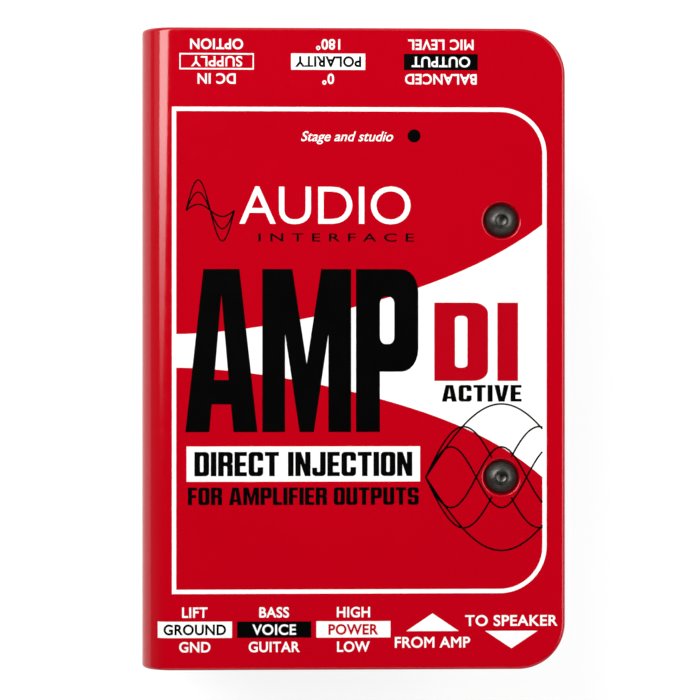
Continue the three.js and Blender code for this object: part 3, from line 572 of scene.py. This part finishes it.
def make_output_housing():
    flange = slab(rectangle(FLANGE_WIDTH, FLANGE_HEIGHT, FLANGE_CORNER), FLANGE_BACK, FLANGE_FACE)
    round_rim(flange, rim(flange, FLANGE_FACE), FLANGE_EDGE, 4)
    barrel = turned([(0, OUTPUT_BARREL_BACK), (11.4, OUTPUT_BARREL_BACK),
                     (OUTPUT_BARREL_RADIUS, -16.7), (OUTPUT_BARREL_RADIUS, 1), (0, 1)])
    hollow = turned([(0, -18), (REAR_SPACE_RADIUS, -18), (REAR_SPACE_RADIUS, SOCKET_FLOOR),
                     (SOCKET_RADIUS, SOCKET_FLOOR), (SOCKET_RADIUS, 0.9), (8.35, 1.5), (8.8, 2.0),
                     (9.3, 2.3), (9.3, 4), (0, 4)])
    notch = slab(rectangle(NOTCH_WIDTH, NOTCH_HEIGHT, 0.3, 0, NOTCH_Y), -5, 4)
    groove = turned([(10.1, 1.95), (10.35, 1.85), (10.6, 1.95), (10.6, 3), (10.1, 3)], closed=True)
    holes = [flange_screw_hole(side) for side in (-1, 1)]
    body = boolean(boolean(flange, [barrel], "UNION"), [hollow, notch, groove, *holes])
    finish_piece("output_housing_fine", moved(body, out_of_panel("output_housing", 1)),
                 BLACK_NYLON, ROOT, ["output_housing"])


def make_pin(node, radius):
    """A contact pin of the rear panel with a rounded tip and a thinner tail."""
    low, high = node_box(node)
    tip, tail = high.y - REAR, low.y - REAR
    nose = []
    for step in range(8):
        angle = math.pi / 2 * step / 8
        nose.append((radius * math.cos(angle), tip - radius * (1 - math.sin(angle))))
    thin = radius * 0.45
    profile = [(0, tail), (thin, tail), (thin, tail + 3), (radius, tail + 3.2), *nose, (0, tip)]
    finish_piece(f"{node}_fine", moved(turned(profile, 48), out_of_panel(node, 1)), SILVER, ROOT,
                 [node])


def make_countersunk(node):
    """A flange screw with a cross recess."""
    low, high = node_box(node)
    face, tail = high.y - REAR, low.y - REAR
    profile = [(0, tail), (1.4, tail), (1.4, face - 1.55), (2.75, face - 0.2), (2.8, face - 0.1),
               (2.7, face), (0, face)]
    recess = []
    for turn in (0, math.pi / 2):
        slot = slab(rectangle(3.0, 0.7, 0.2), face - 0.9, face + 1)
        recess.append(moved(slot, Matrix.Rotation(turn, 4, "Z")))
    body = boolean(turned(profile, 64), recess)
    finish_piece(f"{node}_fine", moved(body, out_of_panel(node, 1)), BLACK_OXIDE, ROOT, [node])


# ---- CAD nodes that keep their own shape ----

def shape_edges(node, look, width):
    """A better finish for a CAD node: flat faces joined, edges rounded, even normals."""
    node.data.materials.clear()
    node.data.materials.append(look)
    flat = node.modifiers.new("flat_faces", "DECIMATE")
    flat.decimate_type = "DISSOLVE"
    flat.angle_limit = math.radians(1)
    bevel = node.modifiers.new("edges", "BEVEL")
    bevel.width = width * MM
    bevel.segments = 2
    bevel.limit_method = "ANGLE"
    bevel.angle_limit = math.radians(40)
    normals = node.modifiers.new("even_normals", "WEIGHTED_NORMAL")
    normals.keep_sharp = True


# Each kept node's material and edge width in millimetres.
KEPT = {
    "inner_chassis": (BLACK_POWDER, 0.25),
    "base_pad": (PAD_RUBBER, 0.5),
    "circuit_board": (BOARD_GREEN, 0.1),
    "transformer_can": (CAN_STEEL, 0.2),
    "transformer_core": (LAMINATION, 0.1),
    "transformer_winding": (COPPER, 0.3),
    "choke_core": (FERRITE, 0.2),
    "choke_winding": (COPPER, 0.15),
    "load_resistor_front": (CEMENT, 0.2),
    "load_resistor_rear": (CEMENT, 0.2),
    "supply_capacitor": (SLEEVE, 0.1),
    "coupling_capacitor_left": (SLEEVE, 0.1),
    "coupling_capacitor_right": (SLEEVE, 0.1),
    "film_capacitor_left": (FILM_BLOCK, 0.3),
    "film_capacitor_right": (FILM_BLOCK, 0.3),
    "amplifier_chip_front": (BLACK_NYLON, 0.08),
    "amplifier_chip_rear": (BLACK_NYLON, 0.08),
    "output_insert": (BLACK_NYLON, 0.1),
    "amp_jack_body": (BLACK_NYLON, 0.15),
    "speaker_jack_body": (BLACK_NYLON, 0.15),
    "amp_jack_tip_spring": (SILVER, 0.05),
    "speaker_jack_tip_spring": (SILVER, 0.05),
    "supply_jack_spring": (SILVER, 0.05),
    "supply_jack_body": (BLACK_NYLON, 0.12),
}
KEPT.update({f"clinch_nut_{at}": (ZINC, 0.08)
             for at in ("top_front", "top_rear", "bottom_front", "bottom_rear")})
KEPT.update({f"board_spacer_{at}": (NICKEL, 0.08) for at in ("front", "rear")})
KEPT.update({f"board_screw_{at}": (ZINC, 0.06) for at in ("front", "rear")})
KEPT.update({f"{at}_switch_body": (BLACK_NYLON, 0.15)
             for at in ("ground", "voicing", "power", "polarity")})


# ---- Print on the top plate: thin ink, generic words and plain shapes ----

INK = 0.02  # thickness
FIRST_LAYER, SECOND_LAYER, THIRD_LAYER = (PLATE_Z + INK * (level - 0.5) for level in (0, 1, 2))

# The block letters' proportions, in parts of their cap height.
LETTER_WIDTH, STEM, BAR = 0.52, 0.2, 0.17
OUTER, INNER = 0.14, 0.045


def bowl(left, bottom, right, top, left_round=True):
    """An upright loop whose right corners, and left ones if wanted, are rounded."""
    near = OUTER if left_round else 0
    return [(left, bottom, near), (right, bottom, OUTER), (right, top, OUTER), (left, top, near)]


def counter(bottom, top):
    """The space inside a bowl."""
    right = LETTER_WIDTH - STEM
    return [(STEM, bottom, INNER), (right, bottom, INNER), (right, top, INNER), (STEM, top, INNER)]


def block_letters():
    """A plain heavy alphabet, cap height 1: each letter is its width and its loops of corners."""
    w, s, b = LETTER_WIDTH, STEM, BAR
    slim = 0.19
    wide = 0.74
    middle = 0.41
    waist = [(w, middle + 0.06, 0.05), (w - 0.06, middle + 0.1), (w, middle + 0.14, 0.05)]
    return {
        " ": (0.2, []),
        "A": (0.6, [[(0, 0), (s, 0), (s + 0.02, 0.17), (0.58 - s, 0.17), (0.6 - s, 0), (0.6, 0),
                     (0.45, 1), (0.15, 1)], [(s + 0.04, 0.32), (0.56 - s, 0.32), (0.3, 0.84)]]),
        "C": (w, [[(0, 0, OUTER), (w, 0, OUTER), (w, 0.37), (w - s, 0.37), (w - s, b, INNER),
                   (s, b, INNER), (s, 1 - b, INNER), (w - s, 1 - b, INNER), (w - s, 0.63),
                   (w, 0.63), (w, 1, OUTER), (0, 1, OUTER)]]),
        "D": (w, [bowl(0, 0, w, 1, False), counter(b, 1 - b)]),
        "E": (0.44, [[(0, 0), (0.44, 0), (0.44, b), (s, b), (s, middle), (0.4, middle),
                      (0.4, middle + b), (s, middle + b), (s, 1 - b), (0.44, 1 - b), (0.44, 1),
                      (0, 1)]]),
        "F": (0.43, [[(0, 0), (s, 0), (s, middle), (0.39, middle), (0.39, middle + b),
                      (s, middle + b), (s, 1 - b), (0.43, 1 - b), (0.43, 1), (0, 1)]]),
        "I": (s, [[(0, 0), (s, 0), (s, 1), (0, 1)]]),
        "J": (0.48, [[(0, 0, OUTER), (0.48, 0, OUTER), (0.48, 1), (0.48 - s, 1),
                      (0.48 - s, b, INNER), (s - 0.02, b, INNER), (s - 0.02, 0.35), (0, 0.35)]]),
        "L": (0.42, [[(0, 0), (0.42, 0), (0.42, b), (s, b), (s, 1), (0, 1)]]),
        "M": (wide, [[(0, 0), (slim, 0), (slim, 0.6), (0.31, 0), (wide - 0.31, 0),
                      (wide - slim, 0.6), (wide - slim, 0), (wide, 0), (wide, 1), (wide - 0.25, 1),
                      (wide / 2, 0.42), (0.25, 1), (0, 1)]]),
        "N": (0.54, [[(0, 0), (slim, 0), (slim, 0.5), (0.34, 0), (0.54, 0), (0.54, 1),
                      (0.54 - slim, 1), (0.54 - slim, 0.5), (0.2, 1), (0, 1)]]),
        "O": (w, [bowl(0, 0, w, 1), counter(b, 1 - b)]),
        "P": (w, [[(0, 0), (s, 0), (s, middle - 0.04), (w, middle - 0.04, OUTER), (w, 1, OUTER),
                   (0, 1)], counter(middle + b - 0.04, 1 - b)]),
        "R": (w, [[(0, 0), (s, 0), (s, middle), (w - s, middle, INNER), (w - s, 0), (w, 0), *waist,
                   (w, 1, OUTER), (0, 1)], counter(middle + b, 1 - b)]),
        "S": (w, [[(0, 0.33), (s, 0.33), (s, b, INNER), (w - s, b, INNER), (w - s, middle, INNER),
                   (0, middle, OUTER), (0, 1, OUTER), (w, 1, OUTER), (w, 0.67), (w - s, 0.67),
                   (w - s, 1 - b, INNER), (s, 1 - b, INNER), (s, middle + b, INNER),
                   (w, middle + b, OUTER), (w, 0, OUTER), (0, 0, OUTER)]]),
        "T": (0.5, [[(0.25 - s / 2, 0), (0.25 + s / 2, 0), (0.25 + s / 2, 1 - b), (0.5, 1 - b),
                     (0.5, 1), (0, 1), (0, 1 - b), (0.25 - s / 2, 1 - b)]]),
        "U": (w, [[(0, 0, OUTER), (w, 0, OUTER), (w, 1), (w - s, 1), (w - s, b, INNER),
                   (s, b, INNER), (s, 1), (0, 1)]]),
        "V": (0.58, [[(0.17, 0), (0.41, 0), (0.58, 1), (0.58 - s, 1), (0.29, 0.3), (s, 1),
                      (0, 1)]]),
    }


BLOCK = block_letters()


def prism(bm, loops, base):
    """Adds a layer of ink whose plan is the loops, holes included, standing on a height."""
    points = [p for loop in loops for p in loop]
    low = [bm.verts.new((p[0], p[1], base)) for p in points]
    high = [bm.verts.new((p[0], p[1], base + INK)) for p in points]
    for a, b, c in tessellate_polygon([[Vector((p[0], p[1], 0)) for p in loop] for loop in loops]):
        bm.faces.new((low[a], low[b], low[c]))
        bm.faces.new((high[a], high[b], high[c]))
    first = 0
    for loop in loops:
        count = len(loop)
        for i in range(count):
            a, b = first + i, first + (i + 1) % count
            bm.faces.new((low[a], low[b], high[b], high[a]))
        first += count


def block_words(bm, words, x, y, width, cap, base, gap):
    """Heavy words centred on a point, at a given width and cap height.

    gap is the space between letters, in the same parts as the letters' widths.
    """
    natural = sum(BLOCK[c][0] for c in words) + gap * (len(words) - 1)
    stretch = width / natural
    left = x - width / 2
    for letter in words:
        advance, loops = BLOCK[letter]
        outlines = []
        for loop in loops:
            corners = rounded(loop, 6)
            outlines.append([(left + p.x * stretch, y + (p.y - 0.5) * cap) for p in corners])
        if outlines:
            prism(bm, outlines, base)
        left += (advance + gap) * stretch


MERGE_LETTER_ENDS = 1e-5
SHARPEST_MITRE = 0.3  # keeps the point of a sharp corner from running far out


def embolden(letters, weight):
    """Moves the walls of upright letters outwards by a weight, and closes the notches it fills."""
    bmesh.ops.remove_doubles(letters, verts=letters.verts, dist=MERGE_LETTER_ENDS)
    bmesh.ops.recalc_face_normals(letters, faces=letters.faces)
    moves = []
    for vert in letters.verts:
        walls = [f.normal for f in vert.link_faces if abs(f.normal.z) < 0.5]
        a, b = min(combinations(walls, 2), key=lambda pair: pair[0].dot(pair[1]))
        moves.append((vert, (a + b) * weight / max(1 + a.dot(b), SHARPEST_MITRE)))
    before = [(edge, edge.verts[1].co - edge.verts[0].co) for edge in letters.edges]
    for vert, move in moves:
        vert.co += move
    filled = [edge for edge, way in before if way.dot(edge.verts[1].co - edge.verts[0].co) < 0]
    bmesh.ops.collapse(letters, edges=filled)


BUILT_IN_FONT_CAP = 0.69  # cap height of Blender's own font at size 1


def plain_words(bm, words, x, y, cap, stretch=1.0, weight=0.0, slant=0.0, turn=0.0, spacing=1.0,
                base=FIRST_LAYER):
    """Words in Blender's own font, centred on a point.

    weight makes the strokes heavier on both sides, in parts of the font's size.
    """
    curve = bpy.data.curves.new("words", "FONT")
    curve.body = words
    curve.shear = slant
    curve.space_character = spacing
    curve.resolution_u = 6
    curve.extrude = 0.5
    holder = bpy.data.objects.new("words", curve)
    bpy.context.collection.objects.link(holder)
    bpy.context.view_layer.update()
    graph = bpy.context.evaluated_depsgraph_get()
    mesh = bpy.data.meshes.new_from_object(holder.evaluated_get(graph))
    bpy.data.objects.remove(holder)
    letters = bmesh.new()
    letters.from_mesh(mesh)
    if weight:
        embolden(letters, weight)
    letters.to_mesh(mesh)
    letters.free()
    xs = [v.co.x for v in mesh.vertices]
    middle = (min(xs) + max(xs)) / 2
    scale = cap / BUILT_IN_FONT_CAP
    to_centre = Matrix.Translation((-middle, -BUILT_IN_FONT_CAP / 2, 0))
    resize = Matrix.Diagonal((scale * stretch, scale, INK, 1))
    spin = Matrix.Rotation(turn, 4, "Z")
    mesh.transform(Matrix.Translation((x, y, base + INK / 2)) @ spin @ resize @ to_centre)
    bm.from_mesh(mesh)
    bpy.data.meshes.remove(mesh)


def box_loop(x, y, width, height):
    return [tuple(p) for p in rectangle(width, height, 0, x, y)]


WAVE_STEPS = 120


def stroke(bm, points, width, base):
    """A line of even width along the points."""
    left, right = [], []
    for i, point in enumerate(points):
        before = Vector(points[max(i - 1, 0)])
        after = Vector(points[min(i + 1, len(points) - 1)])
        along = (after - before).normalized()
        across = Vector((-along.y, along.x)) * width / 2
        left.append(Vector(point) + across)
        right.append(Vector(point) - across)
    prism(bm, [left + right[::-1]], base)


def wave(x_start, x_end, y, height, half_length, phase=0.0):
    """Points of a sine wave."""
    points = []
    for i in range(WAVE_STEPS + 1):
        x = x_start + (x_end - x_start) * i / WAVE_STEPS
        points.append((x, y + height * math.sin(math.pi * (x - x_start) / half_length + phase)))
    return points


def clear_runs(points, x, y, radius):
    """The stretches of a line that keep outside a circle."""
    runs, run = [], []
    for point in points:
        if math.hypot(point[0] - x, point[1] - y) > radius:
            run.append(point)
            continue
        if len(run) > 1:
            runs.append(run)
        run = []
    if len(run) > 1:
        runs.append(run)
    return runs


LABEL_CAP = 1.96
ROW_PITCH = 3.41
BOX_WIDTH, BOX_HEIGHT = 14.65, 3.22
BOX_INNER_WIDTH, BOX_INNER_HEIGHT = 14.2, 2.65
FRONT_LABEL_Y, REAR_LABEL_Y = SHELL_LOW.y + 8.08, SHELL_HIGH.y - 6.78
HEAVY = {"weight": 0.021, "spacing": 1.06}

# A label's style: the box's ink, the title's ink and layer, and how the title is set.
LABEL_STYLES = {
    "outlined": ("white", "white", FIRST_LAYER,
                 {"stretch": 1.05, "weight": 0.012, "spacing": 1.04}),
    "black": ("black", "white", SECOND_LAYER, HEAVY),
    "black_on_white": ("white", "black", SECOND_LAYER,
                       {"stretch": 0.96, "weight": 0.03, "spacing": 1.06}),
    "red_on_white": ("white", "red", SECOND_LAYER,
                     {"stretch": 0.96, "weight": 0.03, "spacing": 1.06}),
}

# Each label: the node that it names, its three lines and its style.
FRONT_LABELS = (
    ("ground_button", ("LIFT", "GROUND", "GND"), "black_on_white"),
    ("voicing_button", ("BASS", "VOICE", "GUITAR"), "black"),
    ("power_button", ("HIGH", "POWER", "LOW"), "red_on_white"),
)
REAR_LABELS = (
    ("supply_jack_pin", ("DC IN", "SUPPLY", "OPTION"), "outlined"),
    ("polarity_button", ("0\u00b0", "POLARITY", "180\u00b0"), "black_on_white"),
    ("output_housing", ("BALANCED", "OUTPUT", "MIC LEVEL"), "black"),
)

ARROW_HALF_WIDTH = 5.2
ARROW_BASE_Y = FRONT_LABEL_Y - 0.4
# Each jack's words, its arrow's height, the words' place from its base, their stretch and spacing.
JACK_LABELS = (
    ("amp_jack_bushing", "FROM AMP", 3.5, -2.2, 1.0, 1.05),
    ("speaker_jack_bushing", "TO SPEAKER", -3.45, 2.05, 1.05, 1.06),
)


def box_label(inks, x, y, toward, words, style, turn):
    """Three lines of words, the middle one in a box, first line on the toward side of it."""
    first, title, last = words
    box_ink, title_ink, layer, setting = LABEL_STYLES[style]
    for line, row in ((first, toward), (last, -toward)):
        plain_words(inks["white"], line, x, y + row * ROW_PITCH, LABEL_CAP, stretch=0.95, turn=turn,
                    **HEAVY)
    loops = [box_loop(x, y, BOX_WIDTH, BOX_HEIGHT)]
    if style == "outlined":
        loops.append(box_loop(x, y, BOX_INNER_WIDTH, BOX_INNER_HEIGHT))
    prism(inks[box_ink], loops, FIRST_LAYER)
    plain_words(inks[title_ink], title, x, y, LABEL_CAP, turn=turn, base=layer, **setting)


def make_labels(inks):
    for labels, y, toward, turn in ((FRONT_LABELS, FRONT_LABEL_Y, 1, 0),
                                    (REAR_LABELS, REAR_LABEL_Y, -1, math.pi)):
        for node, words, style in labels:
            box_label(inks, centre(node).x, y, toward, words, style, turn)
    for node, words, height, row, stretch, spacing in JACK_LABELS:
        x = centre(node).x
        arrow = [(x - ARROW_HALF_WIDTH, ARROW_BASE_Y), (x + ARROW_HALF_WIDTH, ARROW_BASE_Y),
                 (x, ARROW_BASE_Y + height)]
        prism(inks["white"], [arrow], FIRST_LAYER)
        plain_words(inks["white"], words, x, ARROW_BASE_Y + row, 2.04, stretch=stretch,
                    weight=0.019, spacing=spacing)


# ---- Print: frame line, flared band, titles and waves ----

LINE_LEFT, LINE_RIGHT = SHELL_LOW.x + 6.2, SHELL_HIGH.x - 3.72
LINE_BOTTOM, LINE_TOP = SHELL_LOW.y + 15.15, SHELL_HIGH.y - 15.75
LINE_WIDTH = 0.84
BAND_Y = -0.4
BAND_START, BAND_END = 3.3, 25.0  # half heights
LOWER_FLARE, UPPER_FLARE = 16.6, 18.2  # how much of the height opens early
TITLE_X, TITLE_Y = -9.87, -22.74
STRING_START, STRING_LENGTH = 14.3, 30
STRING_STROKE = 0.33
CLEAR_OF_SCREW = 4.05
SMALL_WAVE_LEFT, SMALL_WAVE_RIGHT, SMALL_WAVE_Y = -33, -23.5, 27.3

# Each heavy title: its words and ink, its centre, width and cap height, its layer and the gap.
HEAVY_TITLES = (
    ("AMP", "black", -10.17, -0.34, 46, 32.2, SECOND_LAYER, 0.04),
    ("DI", "red", 24.3, 1.4, 16.6, 15.5, SECOND_LAYER, 0.09),
    ("ACTIVE", "black", 25.4, -8.8, 15.8, 3.3, SECOND_LAYER, 0.07),
    ("DIRECT INJECTION", "black", TITLE_X, TITLE_Y, 43, 4.8, SECOND_LAYER, 0.06),
    ("FOR AMPLIFIER OUTPUTS", "black", TITLE_X, -29.1, 45.6, 3.47, FIRST_LAYER, 0.06),
)


def frame_line(inset):
    left, right = LINE_LEFT + inset, LINE_RIGHT - inset
    bottom, top = LINE_BOTTOM + inset, LINE_TOP - inset
    radius = CORNER_RADIUS - inset
    return rounded([(left, bottom), (right, bottom, radius), (right, top, radius), (left, top)], 20)


def flared_band():
    """A stripe that flares along the plate. Its two edges differ only in how early they open."""
    left, right = LINE_LEFT + LINE_WIDTH, LINE_RIGHT - LINE_WIDTH
    lower, upper = [], []
    for i in range(61):
        t = i / 60
        x = left + (right - left) * t
        for edge, side, early in ((lower, -1, LOWER_FLARE), (upper, 1, UPPER_FLARE)):
            half = BAND_START + early * t ** 1.7 + (BAND_END - BAND_START - early) * t ** 7
            edge.append((x, BAND_Y + side * half))
    return lower + upper[::-1]


def make_string_waves(black):
    """Overtones of one string, drawn as thin waves round the lower screw."""
    for overtone, height in ((1, 14.5), (2, 10), (3, 6)):
        for phase in (0, math.pi):
            line = wave(STRING_START, LINE_RIGHT - LINE_WIDTH, -SCREW_Y, height,
                        STRING_LENGTH / overtone, phase)
            for run in clear_runs(line, SCREW_X, -SCREW_Y, CLEAR_OF_SCREW):
                stroke(black, run, STRING_STROKE, THIRD_LAYER)


def drape(bm):
    """Lays flat ink over the start of the bend."""
    for degrees in range(0, 45, 3):
        cut_across(bm, BEND_X - BEND_RADIUS * math.sin(math.radians(degrees)))
    for vert in bm.verts:
        over = max(BEND_X - vert.co.x, 0)
        vert.co.z -= BEND_RADIUS - math.sqrt(BEND_RADIUS ** 2 - over ** 2)


def make_titles(inks):
    """The heavy titles, the strip under one of them, and three lines in the plain font."""
    white, black = inks["white"], inks["black"]
    for words, ink, x, y, width, cap, layer, gap in HEAVY_TITLES:
        block_words(inks[ink], words, x, y, width, cap, layer, gap)
    prism(white, [box_loop(TITLE_X, TITLE_Y, 46.1, 6.94)], FIRST_LAYER)
    plain_words(white, "AUDIO", -5.6, 28.4, 7.4)
    plain_words(black, "INTERFACE", -3.4, 22.0, 1.6, stretch=1.7, weight=0.012, spacing=1.7)
    plain_words(white, "Stage and studio", -1.25, 42.0, 1.9, weight=0.01, slant=0.3)
    prism(black, [circle(1.3, 12.0, 42.1, 40)], FIRST_LAYER)


def make_small_waves(black):
    """One full wave at three heights, beside the upper title."""
    half_length = (SMALL_WAVE_RIGHT - SMALL_WAVE_LEFT) / 2
    for height in (6, 3.6, 1.2):
        line = wave(SMALL_WAVE_LEFT, SMALL_WAVE_RIGHT, SMALL_WAVE_Y, height, half_length)
        stroke(black, line, 0.3, FIRST_LAYER)


def make_print():
    """The three inks, each one piece, laid on the top plate."""
    inks = {"white": bmesh.new(), "black": bmesh.new(), "red": bmesh.new()}
    make_labels(inks)
    prism(inks["white"], [frame_line(0), frame_line(LINE_WIDTH)], FIRST_LAYER)
    prism(inks["white"], [flared_band()], FIRST_LAYER)
    make_titles(inks)
    make_small_waves(inks["black"])
    make_string_waves(inks["black"])
    for colour, look in (("white", WHITE_INK), ("black", BLACK_INK), ("red", RED_INK)):
        drape(inks[colour])
        finish_piece(f"print_{colour}", inks[colour], look, ROOT)


# ---- Stage, lights and camera ----

PALE_FLOOR = textured("pale_floor", (0.25, 0.25, 0.25), (0.26, 0.26, 0.26), (0.7, 0.8), grain=0.05,
                      height=0.0, patch=0.002, Emission_Color=(1, 1, 1, 1), Emission_Strength=0.8)


def make_floor():
    side, thickness = 6000, 20
    floor = finish_piece("floor", slab(rectangle(side, side), -thickness, 0), PALE_FLOOR, None)


def area_light(name, place, across, up, width, height, radiance, shape="RECTANGLE"):
    """A flat soft light with its sides along two directions, in metres.

    across x up points away from the object.
    """
    across, up = Vector(across).normalized(), Vector(up).normalized()
    back = across.cross(up)
    data = bpy.data.lights.new(name, "AREA")
    data.shape = shape
    data.size, data.size_y = width, height
    data.energy = radiance * math.pi * width * height
    light = bpy.data.objects.new(name, data)
    facing = Matrix((across, up, back)).transposed().to_4x4()
    light.matrix_world = Matrix.Translation(place) @ facing
    bpy.context.collection.objects.link(light)
    return data


def fade_along(data, dark_y, full_y):
    """Dims a light along Y, with the square of the distance from where it is dark, in metres."""
    data.use_nodes = True
    nodes, links = data.node_tree.nodes, data.node_tree.links
    place = nodes.new("ShaderNodeNewGeometry")
    parts = nodes.new("ShaderNodeSeparateXYZ")
    square = nodes.new("ShaderNodeMath")
    square.operation = "POWER"
    square.inputs[1].default_value = 2
    links.new(place.outputs["Position"], parts.inputs["Vector"])
    links.new(spread(nodes, links, parts.outputs["Y"], 0, 1, dark_y, full_y), square.inputs[0])
    links.new(square.outputs["Value"], nodes["Emission"].inputs["Strength"])


def overhead(angle, distance, side, along=0.0):
    """A place seen from the box at an angle from straight up, to -X or +X, and moved along Y."""
    return Vector((side * math.sin(angle) * distance, along, math.cos(angle) * distance))


SOFTBOX_ANGLE, SOFTBOX_LEAN = math.radians(37), math.radians(135)
END_LIGHT_ANGLE = math.radians(55)

# Each side light: its name, degrees from straight up, side, place along Y, size and radiance.
SIDE_LIGHTS = (
    ("left_edge", 60, -1, 0.34, 0.5, 0.3, 0.7),
    ("right_wide", 42, 1, 0.1, 0.8, 0.46, 3.6),
)


def make_left_softbox():
    """The softbox that shows in the bend, turned off the box's length, dim towards the jack end."""
    away = Vector((-math.cos(SOFTBOX_ANGLE), 0, -math.sin(SOFTBOX_ANGLE)))
    along = Vector((0, 1, 0))
    long_way = away * math.cos(SOFTBOX_LEAN) + along * math.sin(SOFTBOX_LEAN)
    short_way = along * math.cos(SOFTBOX_LEAN) - away * math.sin(SOFTBOX_LEAN)
    place = overhead(SOFTBOX_ANGLE, 0.7, -1) - away * 0.12 + along * 0.27
    softbox = area_light("left_softbox", place, short_way, long_way, 0.3, 0.78, radiance=8.5,
                         shape="ELLIPSE")
    fade_along(softbox, dark_y=-0.05, full_y=0.1)


def make_lights():
    """The left softbox, an edge light and a wide light, and a high light for each end."""
    make_left_softbox()
    for name, degrees, side, y, width, height, radiance in SIDE_LIGHTS:
        angle = math.radians(degrees)
        up = (-side * math.cos(angle), 0, math.sin(angle))
        area_light(name, overhead(angle, 0.8, side, y), (0, side, 0), up, width, height, radiance)
    for name, side in (("front_high", -1), ("rear_high", 1)):
        up = (0, -side * math.cos(END_LIGHT_ANGLE), math.sin(END_LIGHT_ANGLE))
        place = (0, side * math.sin(END_LIGHT_ANGLE), math.cos(END_LIGHT_ANGLE))
        area_light(name, place, (-side, 0, 0), up, 1.2, 0.5, radiance=1.0)


def make_world():
    """Dim even surroundings, darkest overhead so that the flat plate stays clear of haze."""
    world = bpy.data.worlds.new("studio")
    world.use_nodes = True
    nodes, links = world.node_tree.nodes, world.node_tree.links
    direction = nodes.new("ShaderNodeTexCoord")
    parts = nodes.new("ShaderNodeSeparateXYZ")
    ramp = nodes.new("ShaderNodeValToRGB")
    ramp.color_ramp.elements[0].position = 0.1
    ramp.color_ramp.elements[1].position = 0.8
    ramp.color_ramp.elements[0].color = (0.25, 0.25, 0.25, 1)
    ramp.color_ramp.elements[1].color = (0.002, 0.002, 0.002, 1)
    links.new(direction.outputs["Generated"], parts.inputs["Vector"])
    links.new(parts.outputs["Z"], ramp.inputs["Fac"])
    links.new(ramp.outputs["Color"], nodes["Background"].inputs["Color"])
    nodes["Background"].inputs["Strength"].default_value = 1.0
    bpy.context.scene.world = world


SENSOR_WIDTH = 36
CAMERA_DISTANCE = 480
CAMERA_TILT = math.radians(1.76)
FRAME_WIDTH = 138.3  # of the view, at the plate
AIM = Vector((-0.68, -0.23, PLATE_Z))


def make_camera():
    """Looks straight down but for a small tilt, from a little to the left."""
    data = bpy.data.cameras.new("camera")
    data.sensor_width = SENSOR_WIDTH
    data.lens = SENSOR_WIDTH * CAMERA_DISTANCE / FRAME_WIDTH
    data.clip_start = 0.01
    data.clip_end = 10
    camera = bpy.data.objects.new("camera", data)
    bpy.context.collection.objects.link(camera)
    back = Vector((-math.sin(CAMERA_TILT), 0, math.cos(CAMERA_TILT)))
    place = Matrix.Translation((AIM + CAMERA_DISTANCE * back) * MM)
    camera.matrix_world = place @ Matrix.Rotation(-CAMERA_TILT, 4, "Y")
    bpy.context.scene.camera = camera


# ---- Everything is made here ----

for kept_name, (kept_look, kept_width) in KEPT.items():
    shape_edges(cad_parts[kept_name], kept_look, kept_width)
make_cover()
for screw in ("top_front", "top_rear", "bottom_front", "bottom_rear"):
    make_cover_screw(f"cover_screw_{screw}")
for jack in ("amp_jack", "speaker_jack"):
    make_jack(jack)
for button in ("ground_button", "voicing_button", "power_button"):
    make_button(button, -1)
make_button("polarity_button", 1)
make_output_housing()
for number in (1, 2, 3):
    make_pin(f"output_pin_{number}", 1.2)
for screw in ("output_screw_upper", "output_screw_lower"):
    make_countersunk(screw)
make_pin("supply_jack_pin", 1.05)
make_print()
make_floor()
make_world()
make_lights()
make_camera()
bpy.context.scene.view_settings.view_transform = "Standard"
